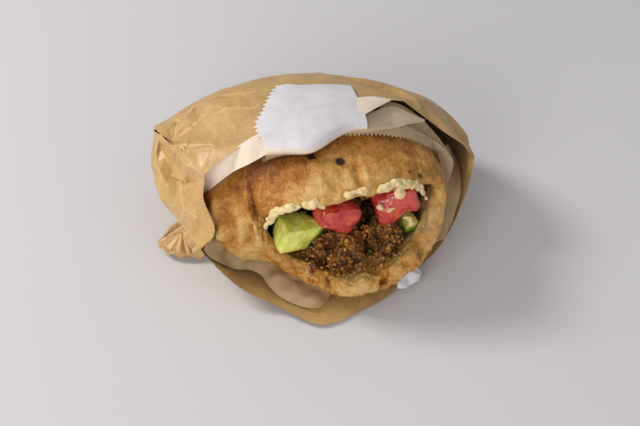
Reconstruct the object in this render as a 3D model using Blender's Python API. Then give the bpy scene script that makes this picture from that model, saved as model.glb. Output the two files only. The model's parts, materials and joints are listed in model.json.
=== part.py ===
"""A falafel pita in a kraft paper bag.

A round pocket bread, slit open along its front and stuffed, lies on its lower half inside an open
paper bag. A sheet of thin white paper lines the bag, and its upper edge folds back over the bag's
top. The bag's long end is folded under, and a pleated corner of it sticks out on the left.

Axes: +X to the right of someone facing the mouth, -Y out of the mouth, +Z up. Z is 0 where the bag
rests. Section angles run round the Y axis: 0 is the right side, 90 the top, 180 the left side and
270 the bottom. Sizes below are millimetres, and MM turns them into metres.
"""

import math

import bmesh
import bpy
import numpy as np
from mathutils import Euler, Matrix, Vector, noise
from mathutils.bvhtree import BVHTree

MM = 0.001
FIT = 0.35  # clear space left between pieces that touch
CENTRE = (-1.25, 12.05, 0.0)  # the middle of the whole thing's footprint, which becomes the origin

# The bread
PITA_BACK = 66.0
PITA_HALF_WIDTHS = (56.5, 57.5)  # left, right
PITA_TOP = 70.0
PITA_BOTTOM = 3.2
PITA_SEAM_HEIGHT = 28.0
PITA_WIDEST_Y = 8.0
PITA_CROWN_Y = -5.0
LOWER_WALL = 8.6
UPPER_WALL = 4.6
PITA_POWER = 2.2
# y: half width, where the slit front leaves the round outline, on each side
PITA_LEFT_FRONT = ((-56, 10), (-46, 22), (-38, 30), (-30, 36.5), (-25, 41), (-20, 46.5), (-14, 52), (-8, 55), (8, 56.5))
PITA_RIGHT_FRONT = ((-58, 29), (-51, 41), (-43, 49), (-32, 54), (-18, 56.5), (8, 57.5))
# section angle: y of the lip
PITA_LIP = (
    (0, -22), (22, -25), (45, -31), (62, -35.5), (80, -38.5), (98, -39.5), (112, -39), (130, -35.5), (150, -30),
    (180, -26), (205, -29), (225, -36), (243, -44), (262, -49), (282, -52), (300, -53), (316, -51),
    (332, -44), (346, -32.5),
)

# The bag: each crease is (share of the way back, x, y, z), from the mouth to the closed end
BAG_PAPER = 0.8
TOP_RIGHT_CREASE = ((0, 43, 11, 70), (0.28, 60.5, 22.5, 59), (0.5, 63, 42, 46), (0.75, 56, 64, 22), (1, 45, 84, 4.5))
TOP_LEFT_CREASE = (
    (0, -58, -9.5, 61), (0.25, -65, 14, 58), (0.42, -70, 32, 54), (0.5, -74, 41.5, 51.5), (0.57, -71, 50, 44),
    (0.75, -62, 65, 24), (1, -45, 84, 4.5),
)
LOW_LEFT_CREASE = (
    (0, -63, -17.5, 24), (0.2, -72.5, 4.5, 30), (0.36, -78, 24, 40), (0.5, -75, 40, 41), (0.6, -70, 51, 33),
    (0.75, -62, 64, 18), (1, -45, 84, 1.5),
)
LOW_RIGHT_CREASE = ((0, 74.5, -7.5, 45), (0.25, 77, 13, 43), (0.5, 73, 36, 33), (0.75, 62, 62, 15), (1, 45, 84, 1.5))
# share of the way back: height the top panel arches over its two creases
TOP_ARCH = ((0, 11.5), (0.25, 17.5), (0.5, 23), (0.75, 26.5), (0.9, 15), (1, 0))
# x: y of the lower panel's cut edge
LOW_EDGE = (
    (-63, -17.5), (-58, -26), (-52, -33), (-45, -38), (-29, -46.5), (-23, -55), (-17, -60), (-9, -60), (-2, -56.5),
    (6, -53.5), (17, -51), (26, -45), (34, -40.5), (42, -37), (50, -34.5), (56, -29.5), (61, -26), (66, -21),
    (70, -15.5), (74.5, -7.5),
)
TOP_EDGE_DRAW = 4.0
RIGHT_STEPS, TOP_STEPS, LEFT_STEPS, LOW_STEPS = 5, 15, 7, 18
BAG_ROWS = 13

# The folded corner at the bag's left: (share along its root, x, y, z) of the fan's outer edge
FAN_EDGE = ((0, -68, 14, 13), (0.3, -79, 10.4, 4.5), (0.65, -74.5, 3, 2.6), (1, -61, -1.5, 2.4))
FAN_ROOT = ((0, -66, 16, 12), (1, -56, 0, 4.5))
FAN_SAMPLES = 11
FAN_PLEAT = 1.3

# The lining paper
LINER_PAPER = 0.6
LINER_BACK = 34.0
LINER_AXIS_HEIGHT = 36.0
LINER_EDGE = (
    (0, -12), (25, -9), (45, -6), (62, -6), (73, -7), (84, -10), (96, -14.5), (108, -17), (117, -14.5),
    (128, -12.5), (140, -11.5), (152, -10), (165, -5), (182, -1), (198, -6), (209, -18), (220, -24), (228, -28), (236, -38),
    (246, -47), (256, -50), (268, -48), (280, -46), (300, -49), (312, -49), (320, -42), (335, -28),
)
# x: how far back the turned-over flap reaches
FLAP_EDGE = ((-38, -6), (-34, -1), (-31, 3), (-22, 16), (-13, 30), (-6, 26), (21, 22), (25, 12), (38, 11))
FLAP_SPAN = (-35.5, 24.0)
FLAP_ROWS = 7


def through(stations, period=None):
    """A smooth curve through (place, value, ...) stations that never swings past them."""
    places = np.array([s[0] for s in stations], float)
    values = np.array([s[1:] for s in stations], float)
    if period:
        places = np.concatenate([places - period, places, places + period])
        values = np.tile(values, (3, 1))
    steps = np.diff(places)[:, None]
    slopes = np.diff(values, axis=0) / steps
    before, after = slopes[:-1], slopes[1:]
    same_way = before * after > 0
    safe = np.where(same_way, before + after, 1)
    inner = np.where(same_way, 2 * before * after / safe, 0)
    tangents = np.concatenate([slopes[:1], inner, slopes[-1:]])

    def value(place):
        if period:
            place = place % period
        place = min(max(place, places[0]), places[-1])
        i = min(int(np.searchsorted(places, place, "right")) - 1, len(steps) - 1)
        t = (place - places[i]) / steps[i, 0]
        result = (2 * t**3 - 3 * t**2 + 1) * values[i] + (3 * t**2 - 2 * t**3) * values[i + 1]
        result += (t**3 - 2 * t**2 + t) * steps[i] * tangents[i]
        result += (t**3 - t**2) * steps[i] * tangents[i + 1]
        return float(result[0]) if len(result) == 1 else result

    return value


def rounded(share, power):
    """1 in the middle, falling to 0 at share 1, as a superellipse does."""
    return max(0.0, 1 - min(1.0, abs(share)) ** power) ** (1 / power)


def hill(place, middle, half_width):
    return math.exp(-(((place - middle) / half_width) ** 2))


pita_left = through(PITA_LEFT_FRONT)
pita_right = through(PITA_RIGHT_FRONT)
pita_lip = through(PITA_LIP, 360)
top_right_crease = through(TOP_RIGHT_CREASE)
top_left_crease = through(TOP_LEFT_CREASE)
low_left_crease = through(LOW_LEFT_CREASE)
low_right_crease = through(LOW_RIGHT_CREASE)
top_arch = through(TOP_ARCH)
low_edge = through(LOW_EDGE)
fan_edge = through(FAN_EDGE)
fan_root = through(FAN_ROOT)
liner_edge = through(LINER_EDGE, 360)
flap_edge = through(FLAP_EDGE)


def mesh_object(name, vertices, faces, colour, roughness):
    """A closed mesh in metres, its faces turned outward, with a material of its own."""
    mesh = bpy.data.meshes.new(name)
    mesh.from_pydata([tuple(np.asarray(v) * MM) for v in vertices], [], faces)
    work = bmesh.new()
    work.from_mesh(mesh)
    bmesh.ops.recalc_face_normals(work, faces=work.faces)
    work.to_mesh(mesh)
    work.free()
    obj = bpy.data.objects.new(name, mesh)
    bpy.context.scene.collection.objects.link(obj)
    material = bpy.data.materials.new(name)
    material.use_nodes = True
    shader = material.node_tree.nodes["Principled BSDF"]
    shader.inputs["Base Color"].default_value = (*colour, 1)
    shader.inputs["Roughness"].default_value = roughness
    mesh.materials.append(material)
    return obj


def thickened(vertices, faces, paper):
    """A sheet given a second side, `paper` to its inner side, and closed along its free edges."""
    points = np.array(vertices, float)
    normals = np.zeros_like(points)
    face_normals = []
    for face in faces:
        corners = points[list(face)]
        turn = np.cross(corners[1] - corners[0], corners[-1] - corners[0])
        if len(face) == 4:
            turn = turn + np.cross(corners[3] - corners[2], corners[1] - corners[2])
        turn /= np.linalg.norm(turn)
        face_normals.append(turn)
        for corner in face:
            normals[corner] += turn
    normals /= np.linalg.norm(normals, axis=1)[:, None]
    lean = np.ones(len(points))
    for face, turn in zip(faces, face_normals):
        for corner in face:
            lean[corner] = min(lean[corner], float(normals[corner] @ turn))
    inner = points - normals * (paper / np.maximum(lean, 0.72))[:, None]
    count = len(points)
    sides = [tuple(face) for face in faces] + [tuple(count + i for i in reversed(face)) for face in faces]
    directed = {(face[i - 1], face[i]) for face in faces for i in range(len(face))}
    for a, b in sorted(directed):
        if (b, a) not in directed:
            sides.append((b, a, count + a, count + b))
    return np.concatenate([points, inner]), sides


# The bread

def pita_widths(y):
    if y > PITA_WIDEST_Y:
        share = rounded((y - PITA_WIDEST_Y) / (PITA_BACK - PITA_WIDEST_Y), 2.2)
        return PITA_HALF_WIDTHS[0] * share, PITA_HALF_WIDTHS[1] * share
    return pita_left(y), pita_right(y)


def pita_heights(y):
    """Top, bottom and widest height of the bread's section."""
    top_room, bottom_room = PITA_TOP - PITA_SEAM_HEIGHT, PITA_SEAM_HEIGHT - PITA_BOTTOM
    if y > PITA_CROWN_Y:
        top = PITA_SEAM_HEIGHT + top_room * rounded((y - PITA_CROWN_Y) / (PITA_BACK - PITA_CROWN_Y), 2.2)
    else:
        top = PITA_TOP - 9.0 * ((PITA_CROWN_Y - y) / 37) ** 2
    flat_end, flat_start = 20.0, -18.0
    bottom = PITA_BOTTOM
    if y > flat_end:
        bottom = PITA_SEAM_HEIGHT - bottom_room * rounded((y - flat_end) / (PITA_BACK - flat_end), 2.4)
    elif y < flat_start:
        bottom = PITA_BOTTOM + 5.0 * ((flat_start - y) / 34) ** 1.6
    return top, bottom, PITA_SEAM_HEIGHT + 11.0 * min(1.0, (PITA_BACK - y) / 90)


def pita_skin(angle, t):
    """The bread's outer surface: t is 0 at the back seam and 1 at the lip."""
    across, up = math.cos(math.radians(angle)), math.sin(math.radians(angle))
    y = PITA_BACK + (pita_lip(angle) - PITA_BACK) * t**2
    left, right = pita_widths(y)
    top, bottom, middle = pita_heights(y)
    reach = right if across > 0 else left
    rise = top - middle if up > 0 else middle - bottom
    # the pinched pleat at the left, and the puffs along the lower lip
    dent = 3.2 * hill(angle, 152, 9) * hill(t, 0.97, 0.16)
    puff = 0.9 * math.sin(math.radians(angle * 10 + 20)) * hill(t, 1, 0.13) * max(0.0, -up)
    grow = 1 + (puff - dent) / 50
    x = math.copysign(abs(across) ** (2 / PITA_POWER), across) * reach * grow
    z = middle + math.copysign(abs(up) ** (2 / PITA_POWER), up) * rise * grow
    return np.array((x, y, z))


def pita_inner(angle, t, extra=0.0):
    """A point inside the bread's wall, or `extra` further in."""
    nudge = 1e-3
    along = pita_skin(angle, min(1.0, t + nudge)) - pita_skin(angle, t - nudge)
    around = pita_skin(angle + 0.5, t) - pita_skin(angle - 0.5, t)
    normal = np.cross(along, around)
    upper = max(0.0, math.sin(math.radians(angle)))
    wall = LOWER_WALL + (UPPER_WALL - LOWER_WALL) * upper**0.6 + extra
    return pita_skin(angle, t) + normal / np.linalg.norm(normal) * wall


def cup(first, rings, last):
    """Vertices and faces through rings of equal count, with a point at each end."""
    count = len(rings[0])
    vertices = [first] + [point for ring in rings for point in ring] + [last]
    faces = []
    for i in range(count):
        j = (i + 1) % count
        faces.append((0, 1 + i, 1 + j))
        for r in range(len(rings) - 1):
            a, b = 1 + r * count, 1 + (r + 1) * count
            faces.append((a + i, b + i, b + j, a + j))
        end = 1 + (len(rings) - 1) * count
        faces.append((end + i, len(vertices) - 1, end + j))
    return vertices, faces


def make_pita():
    angles = np.arange(0, 360, 7.5)
    rings = [[pita_skin(a, t) for a in angles] for t in np.linspace(0, 1, 13)[1:]]
    for turn in np.radians((45, 90, 135)):
        ring = []
        for a in angles:
            outer_edge, inner_edge = pita_skin(a, 1.0), pita_inner(a, 1.0)
            ahead = outer_edge - pita_skin(a, 0.999)
            ahead /= np.linalg.norm(ahead)
            middle, half = (outer_edge + inner_edge) / 2, (outer_edge - inner_edge) / 2
            ring.append(middle + half * math.cos(turn) + ahead * np.linalg.norm(half) * math.sin(turn))
        rings.append(ring)
    rings += [[pita_inner(a, t) for a in angles] for t in np.linspace(1, 0.34, 9)]
    back = pita_skin(0, 0)
    end = np.mean(rings[-1], axis=0)
    return mesh_object("pita", *cup(back, rings, end), (0.60, 0.36, 0.14), 0.8)


# The bag

def eased(count):
    """Shares from 0 to 1, closer together near both ends."""
    return [(1 - math.cos(math.pi * i / count)) / 2 for i in range(count)]


def bag_ring(t):
    """Points round the bag at a share of the way back: right, top, left, then lower panel."""
    tr, tl, ll, lr = (c(t) for c in (top_right_crease, top_left_crease, low_left_crease, low_right_crease))
    closing = math.sin(math.pi * min(1.0, t) ** 0.9)
    ring = []
    for u in eased(RIGHT_STEPS):
        out = 1.5 * 4 * u * (1 - u) * closing
        ring.append(lr + (tr - lr) * u + np.array((out, 0, out * 0.5)))
    for u in eased(TOP_STEPS):
        arch = 4 * u * (1 - u) * top_arch(t) * (1 + 0.25 * (u - 0.5) * min(1.0, 4 * t))
        valley = 4.5 * hill(u, 0.93, 0.035) * hill(t, 0.47, 0.12)
        draw = TOP_EDGE_DRAW * 4 * u * (1 - u) * (1 - t) ** 2
        ring.append(tr + (tl - tr) * u + np.array((0, draw, arch - valley)))
    for u in eased(LEFT_STEPS):
        tuck = 3.0 * hill(u, 0.42, 0.22) * hill(t, 0.26, 0.15) + 2.6 * hill(u, 0.72, 0.2) * hill(t, 0, 0.08)
        ring.append(tl + (ll - tl) * u + np.array((tuck, 0, 0)))
    for u in eased(LOW_STEPS):
        flat = ll + (lr - ll) * u
        edge = ll * 0 + low_left_crease(0) * (1 - u) + low_right_crease(0) * u
        reach = (low_edge(edge[0]) - edge[1]) * (1 - t) ** 1.6
        power = 3.4 if u < 0.5 else 2.6 + 2.0 * min(1.0, 2.5 * t)
        z = flat[2] * abs(2 * u - 1) ** power + 1.5 * (1 - t) ** 6 * (1 - abs(2 * u - 1) ** 2)
        ring.append(np.array((flat[0], flat[1] + reach, max(0.0, z - 0.4))))
    return ring


def make_bag():
    rings = [bag_ring(t) for t in np.linspace(0, 1, BAG_ROWS + 1)]
    count = len(rings[0])
    vertices = [p for ring in rings for p in ring] + [np.mean(rings[-1], axis=0)]
    faces = []
    for i in range(count):
        j = (i + 1) % count
        for r in range(BAG_ROWS):
            a, b = r * count, (r + 1) * count
            faces.append((a + i, b + i, b + j, a + j))
        faces.append((BAG_ROWS * count + j, BAG_ROWS * count + i, len(vertices) - 1))
    bag = mesh_object("paper_bag", *thickened(vertices, faces, BAG_PAPER), (0.60, 0.41, 0.20), 0.7)
    return bag


def make_fan(bag):
    """The pleated corner of the folded end. Its root is set into the bag's lower panel and joined to it."""
    tree = tree_of(bag)
    columns = []
    for k in range(FAN_SAMPLES):
        share = k / (FAN_SAMPLES - 1)
        root, edge = fan_root(share), fan_edge(share)
        hit = tree.find_nearest(Vector(root) * MM)
        root = np.array(hit[0]) / MM - np.array(hit[1]) * BAG_PAPER * 0.5
        pleat = FAN_PLEAT * (1 if k % 2 else -1)
        columns.append([root + (edge - root) * f + np.array((0, 0, pleat * f)) for f in (0, 0.3, 0.65, 1)])
    rows = len(columns[0])
    vertices = [point for column in columns for point in column]
    faces = []
    for k in range(FAN_SAMPLES - 1):
        for r in range(rows - 1):
            a, b = k * rows + r, (k + 1) * rows + r
            faces.append((a, b, b + 1, a + 1))
    fan = mesh_object("folded_end", *thickened(vertices, faces, BAG_PAPER), (0.60, 0.41, 0.20), 0.7)
    fan.hide_render = True
    fan.display_type = "WIRE"
    join = bag.modifiers.new("folded_end", "BOOLEAN")
    join.object = fan
    join.operation = "UNION"
    join.solver = "EXACT"


# The lining paper

def tree_of(obj):
    corners = [v.co.copy() for v in obj.data.vertices]
    return BVHTree.FromPolygons(corners, [tuple(p.vertices) for p in obj.data.polygons])


def make_liner(bag, pita):
    bag_tree, pita_tree = tree_of(bag), tree_of(pita)

    def reach(tree, angle, y, inward):
        way = Vector((math.cos(math.radians(angle)), 0, math.sin(math.radians(angle))))
        axis = Vector((0, y, LINER_AXIS_HEIGHT)) * MM
        far = 0.2
        if inward:
            hit = tree.ray_cast(axis + way * far, -way)
            return (far - hit[3]) / MM if hit[0] and hit[3] < far else 0.0
        hit = tree.ray_cast(axis, way)
        return hit[3] / MM if hit[0] else 1e3

    def liner_point(angle, y):
        """Close over the bread above, close on the bag below."""
        bread = reach(pita_tree, angle, y, True)
        wall = reach(bag_tree, angle, y, False) - FIT - 0.1
        hug = bread + FIT + 0.8 + LINER_PAPER
        low = min(1.0, max(0.0, -0.1 - math.sin(math.radians(angle))) / 0.35)
        low = low * low * (3 - 2 * low)
        if bread <= 0:
            radius = wall
        else:
            radius = hug + (wall - hug) * low if wall < 900 else hug
            radius = min(radius, wall)
        a = math.radians(angle)
        return np.array((radius * math.cos(a), y, LINER_AXIS_HEIGHT + radius * math.sin(a)))

    angles = np.arange(0, 360, 7.5)
    rows = np.linspace(0, 1, 9)
    vertices = []
    for t in rows:
        for a in angles:
            vertices.append(liner_point(a, LINER_BACK + (liner_edge(a) - LINER_BACK) * t))
    count = len(angles)
    faces = []
    for r in range(len(rows) - 1):
        for i in range(count):
            j = (i + 1) % count
            a, b = r * count, (r + 1) * count
            faces.append((a + i, a + j, b + j, b + i))
    last = (len(rows) - 1) * count
    span = [i for i in range(count) if 0 < angles[i] < 180 and FLAP_SPAN[0] < vertices[last + i][0] < FLAP_SPAN[1]]
    flap = [[last + i for i in span]]
    crowns = []
    for i in span:
        x, y, _ = vertices[last + i]
        height = 0
        while height < 50:
            y += 1
            hit = bag_tree.ray_cast(Vector((x, y, 200)) * MM, Vector((0, 0, -1)))
            height = hit[0].z / MM
        crowns.append(height)
    for r in range(1, FLAP_ROWS + 3):
        row = []
        for k, i in enumerate(span):
            x, y, z = vertices[last + i]
            over = crowns[k] + FIT + 0.4
            if r == 1:
                point = (x, y - 1.6, z + (over - z) * 0.35)
            elif r == 2:
                point = (x, y - 0.8, z + (over - z) * 0.85)
            else:
                share = (r - 2) / FLAP_ROWS
                back = y + (max(flap_edge(x), y + 5) - y) * share
                hit = bag_tree.ray_cast(Vector((x, back, 200)) * MM, Vector((0, 0, -1)))
                height = hit[0].z / MM + FIT + 0.4 if hit[0] and hit[0].z > 0.05 else over
                point = (x, back, max(height, over - 0.6 if share < 0.4 else 0))
            vertices.append(np.array(point))
            row.append(len(vertices) - 1)
        flap.append(row)
    for near, far in zip(flap, flap[1:]):
        for k in range(len(span) - 1):
            faces.append((near[k], near[k + 1], far[k + 1], far[k]))
    return mesh_object("liner_paper", *thickened(vertices, faces, LINER_PAPER), (0.80, 0.76, 0.72), 0.6)


# What fills the bread

def lump(name, centre, radii, turn, rough, seed, colour, detail=2, grow=0.0):
    """An uneven ball: `rough` is how far its surface strays, `grow` makes a looser copy."""
    work = bmesh.new()
    bmesh.ops.create_icosphere(work, subdivisions=detail, radius=1)
    rotation = Euler([math.radians(a) for a in turn]).to_matrix()
    points = []
    for vertex in work.verts:
        way = vertex.co.normalized()
        stray = noise.noise(way * 1.6 + Vector((seed, 0, 0))) + 0.5 * noise.noise(way * 3.7 + Vector((0, seed, 0)))
        size = Vector([r + rough * stray + grow for r in radii])
        points.append(rotation @ Vector([way[k] * size[k] for k in range(3)]) + Vector(centre))
    faces = [tuple(v.index for v in face.verts) for face in work.faces]
    work.free()
    return mesh_object(name, points, faces, colour, 0.75)


def chunk(name, centre, size, turn, taper, swell, seed, colour, grow=0.0):
    """A cut piece with six soft faces. `taper` narrows it toward -Y, `swell` rounds its faces."""
    work = bmesh.new()
    bmesh.ops.create_cube(work, size=2)
    bmesh.ops.subdivide_edges(work, edges=work.edges, cuts=4, use_grid_fill=True)
    rotation = Euler([math.radians(a) for a in turn]).to_matrix()
    points = []
    for vertex in work.verts:
        cube = vertex.co
        ball = cube.normalized() * 1.25
        soft = cube.lerp(ball, swell)
        if max(abs(cube.x), abs(cube.y), abs(cube.z)) > 0.99 and sorted(map(abs, cube))[1] > 0.99:
            soft = soft * 0.965
        narrow = 1 - taper * (1 - soft.y) / 2
        stray = 0.05 * noise.noise(cube * 0.9 + Vector((seed, seed, 0)))
        half = Vector([s / 2 + grow for s in size])
        point = Vector((soft.x * narrow, soft.y, soft.z * narrow)) * (1 + stray)
        points.append(rotation @ Vector([point[k] * half[k] for k in range(3)]) + Vector(centre))
    faces = [tuple(v.index for v in face.verts) for face in work.faces]
    work.free()
    return mesh_object(name, points, faces, colour, 0.35)


def smear(name, angles, radius, forward, down, seed, drip=None):
    """A lumpy line of paste along the bread's upper lip, between two section angles."""
    steps, sides = 9, 8
    path = []
    for angle in np.linspace(*angles, steps):
        lip = (pita_skin(angle, 1) + pita_inner(angle, 1)) / 2
        out = pita_skin(angle, 1) - pita_inner(angle, 1)
        path.append(lip + np.array((0, -forward, 0)) - out / np.linalg.norm(out) * down)
    rings = []
    for k, point in enumerate(path):
        along = path[min(k + 1, steps - 1)] - path[max(k - 1, 0)]
        along /= np.linalg.norm(along)
        side = np.cross(along, (0, 1, 0))
        side /= np.linalg.norm(side)
        lift = np.cross(side, along)
        size = radius * math.sqrt(max(0.08, 1 - (2 * k / (steps - 1) - 1) ** 4))
        ring = []
        for i in range(sides):
            a = 2 * math.pi * i / sides
            way = side * math.cos(a) + lift * math.sin(a)
            stray = 1 + 0.3 * noise.noise(Vector(point * 0.35) + Vector(way) * 0.7 + Vector((seed, 0, 0)))
            spot = point + way * size * stray
            if drip and way[2] < 0:
                spot[2] -= drip[1] * hill(spot[0], drip[0], 2.2)
            ring.append(spot)
        rings.append(ring)
    return mesh_object(name, *cup(path[0], rings, path[-1]), (0.62, 0.50, 0.28), 0.5)


FALAFEL = (0.12, 0.055, 0.018)
TOMATO = (0.42, 0.045, 0.03)
CUCUMBER = (0.36, 0.42, 0.08)
PIECES = (
    (lump, "falafel_front", (0, -28, 24.2), (13.5, 15, 10.8), (0, 0, 20), 2.2, 3.1, FALAFEL),
    (lump, "falafel_right", (22.4, -30, 26.4), (8.4, 12, 9.6), (0, 10, -10), 2.0, 7.7, FALAFEL),
    (lump, "falafel_back", (13.5, -11, 43), (9.5, 11, 9.5), (0, 0, 0), 2.0, 1.3, FALAFEL),
    (chunk, "tomato_left", (-1, -30, 44), (19, 13, 13), (0, 8, 8), 0.15, 0.55, 2.0, TOMATO),
    (chunk, "tomato_right", (28, -28, 44.4), (20, 12, 14), (0, -18, -8), 0.1, 0.5, 5.0, TOMATO),
    (chunk, "cucumber_front", (-20.2, -28, 34), (15.5, 13.5, 14), (8, 12, 12), 0.0, 0.2, 3.0, CUCUMBER),
    (chunk, "cucumber_side", (35.3, -27.8, 28.4), (6, 10, 8), (0, 20, 12), 0.0, 0.3, 9.0, CUCUMBER),
)


def make_filling():
    """A loose bed right through the pocket, hollowed wherever a larger piece sits."""
    angles = np.arange(0, 360, 15)
    rings = [[pita_inner(a, t, FIT + 0.15) for a in angles] for t in (0.38, 0.5, 0.62, 0.74, 0.84, 0.92)]
    centre = np.mean(rings[-1], axis=0)
    for share in (0.75, 0.5, 0.25):
        ring = []
        for point in rings[5]:
            spot = centre + (point - centre) * share
            spot[1] += 1.5 * noise.noise(Vector(spot * 0.12)) * 4 * (1 - share)
            ring.append(spot)
        rings.append(ring)
    start = np.mean(rings[0], axis=0)
    bed = mesh_object("filling", *cup(start, rings, centre), (0.16, 0.11, 0.04), 0.7)
    for build, name, *shape in PIECES:
        build(name, *shape)
        cutter = build(name + "_room", *shape, grow=FIT)
        cutter.hide_render = True
        cutter.display_type = "WIRE"
        cut = bed.modifiers.new(name, "BOOLEAN")
        cut.object = cutter
        cut.operation = "DIFFERENCE"
        cut.solver = "EXACT"


def main():
    for obj in list(bpy.data.objects):
        bpy.data.objects.remove(obj)
    pita = make_pita()
    bag = make_bag()
    make_liner(bag, pita)
    make_fan(bag)
    make_filling()
    smear("hummus_left", (148, 116), 2.1, 6.7, 2.8, 0.0)
    smear("hummus_middle", (90, 79), 1.5, 4.6, 1.8, 4.0)
    smear("hummus_right", (66, 42), 2.1, 5.4, 1.9, 8.0, drip=(33, 4.5))
    for obj in bpy.data.objects:
        obj.data.transform(Matrix.Translation(-Vector(CENTRE) * MM))


main()
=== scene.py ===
"""Looks of a falafel pita in a kraft paper bag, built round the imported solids.

Lengths are metres. The bag's mouth faces -Y, +Z is up, and the whole thing rests on Z = 0.
"""

import json
import math
import random

import bmesh
from mathutils.geometry import delaunay_2d_cdt
import bpy
import numpy as np
from mathutils import Euler, Matrix, Vector, noise

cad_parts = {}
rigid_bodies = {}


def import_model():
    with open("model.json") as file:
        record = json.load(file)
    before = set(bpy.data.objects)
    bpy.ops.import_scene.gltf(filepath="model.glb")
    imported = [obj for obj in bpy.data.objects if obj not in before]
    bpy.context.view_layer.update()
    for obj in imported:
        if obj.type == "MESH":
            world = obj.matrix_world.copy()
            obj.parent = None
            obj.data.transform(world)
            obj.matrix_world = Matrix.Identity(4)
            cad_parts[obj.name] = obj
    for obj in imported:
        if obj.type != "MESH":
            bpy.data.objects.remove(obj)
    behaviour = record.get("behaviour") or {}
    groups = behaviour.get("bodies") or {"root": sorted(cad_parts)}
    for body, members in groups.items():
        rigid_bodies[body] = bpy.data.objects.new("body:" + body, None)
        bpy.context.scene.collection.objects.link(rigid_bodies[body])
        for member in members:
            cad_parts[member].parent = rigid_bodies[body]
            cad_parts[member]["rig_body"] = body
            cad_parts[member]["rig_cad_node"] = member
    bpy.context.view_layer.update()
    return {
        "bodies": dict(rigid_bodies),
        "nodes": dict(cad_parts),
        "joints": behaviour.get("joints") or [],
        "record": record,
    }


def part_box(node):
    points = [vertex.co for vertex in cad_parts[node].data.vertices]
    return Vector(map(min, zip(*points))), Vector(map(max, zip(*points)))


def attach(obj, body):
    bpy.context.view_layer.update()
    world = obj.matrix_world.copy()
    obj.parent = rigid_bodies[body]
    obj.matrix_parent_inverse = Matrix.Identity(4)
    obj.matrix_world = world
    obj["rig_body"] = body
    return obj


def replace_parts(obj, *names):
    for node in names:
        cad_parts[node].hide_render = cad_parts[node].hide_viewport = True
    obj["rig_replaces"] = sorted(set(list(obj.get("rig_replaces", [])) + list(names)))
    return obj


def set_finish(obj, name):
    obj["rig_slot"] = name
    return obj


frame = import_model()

NODES = frame["nodes"]
MM = 0.001


# Handling pieces

def deselect():
    if bpy.context.object and bpy.context.object.mode != "OBJECT":
        bpy.ops.object.mode_set(mode="OBJECT")
    bpy.ops.object.select_all(action="DESELECT")


def pick(piece):
    deselect()
    piece.select_set(True)
    bpy.context.view_layer.objects.active = piece
    return piece


def copy_of(source, name):
    """A free copy of a solid or of a piece, with its own merged mesh and no material."""
    hidden = source.hide_viewport
    source.hide_viewport = False
    pick(source)
    bpy.ops.object.duplicate(linked=False)
    piece = bpy.context.object
    source.hide_viewport = hidden
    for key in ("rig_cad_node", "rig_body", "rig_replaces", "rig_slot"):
        if key in piece:
            del piece[key]
    piece.parent = None
    piece.name = name
    piece.data.name = name
    piece.hide_render = False
    piece.data.materials.clear()
    bpy.ops.object.mode_set(mode="EDIT")
    bpy.ops.mesh.select_mode(type="VERT")
    bpy.ops.mesh.select_all(action="SELECT")
    bpy.ops.mesh.remove_doubles(threshold=0.00001)
    bpy.ops.mesh.customdata_custom_splitnormals_clear()
    bpy.ops.object.mode_set(mode="OBJECT")
    return piece


def choose(piece, test, kind="FACE"):
    """Selects in edit mode the faces, edges or vertices that a test on each one's middle passes."""
    pick(piece)
    bpy.ops.object.mode_set(mode="EDIT")
    bpy.ops.mesh.select_mode(type=kind)
    bpy.ops.mesh.select_all(action="DESELECT")
    work = bmesh.from_edit_mesh(piece.data)
    sequence = {"FACE": work.faces, "EDGE": work.edges, "VERT": work.verts}[kind]
    count = 0
    for element in sequence:
        if test(element):
            element.select_set(True)
            count += 1
    work.select_flush_mode()
    bmesh.update_edit_mesh(piece.data)
    return count


def edit_done():
    bpy.ops.object.mode_set(mode="OBJECT")


def modify(piece, name, kind, **settings):
    pick(piece)
    modifier = piece.modifiers.new(name, kind)
    for key, value in settings.items():
        setattr(modifier, key, value)
    bpy.ops.object.modifier_apply(modifier=modifier.name)


def smooth(piece, degrees=180):
    pick(piece)
    bpy.ops.object.shade_smooth_by_angle(angle=math.radians(degrees))


def points_of(piece):
    co = np.empty(len(piece.data.vertices) * 3)
    piece.data.vertices.foreach_get("co", co)
    return co.reshape(-1, 3)


def normals_of(piece):
    co = np.empty(len(piece.data.vertices) * 3)
    piece.data.vertex_normals.foreach_get("vector", co)
    return co.reshape(-1, 3)


def set_points(piece, co):
    piece.data.vertices.foreach_set("co", np.asarray(co, float).ravel())
    piece.data.update()


def grain_texture(name, kind, size, **settings):
    texture = bpy.data.textures.new(name, kind)
    texture.noise_scale = size
    for key, value in settings.items():
        setattr(texture, key, value)
    return texture


def place(piece, slot, *stands_for):
    """The piece rides with the object, takes its finish from a slot and stands for solids."""
    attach(piece, "root")
    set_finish(piece, slot)
    if stands_for:
        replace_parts(piece, *stands_for)
    return piece


# Shared effects

def effect(name, inputs, outputs):
    """An empty node group with named sockets: (name, kind, value) going in, (name, kind) coming out."""
    group = bpy.data.node_groups.new(name, "ShaderNodeTree")
    for label, kind, value in inputs:
        socket = group.interface.new_socket(name=label, in_out="INPUT", socket_type="NodeSocket" + kind)
        if value is not None:
            socket.default_value = value
    for label, kind in outputs:
        group.interface.new_socket(name=label, in_out="OUTPUT", socket_type="NodeSocket" + kind)
    start = group.nodes.new("NodeGroupInput")
    end = group.nodes.new("NodeGroupOutput")
    return group, start, end


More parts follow.
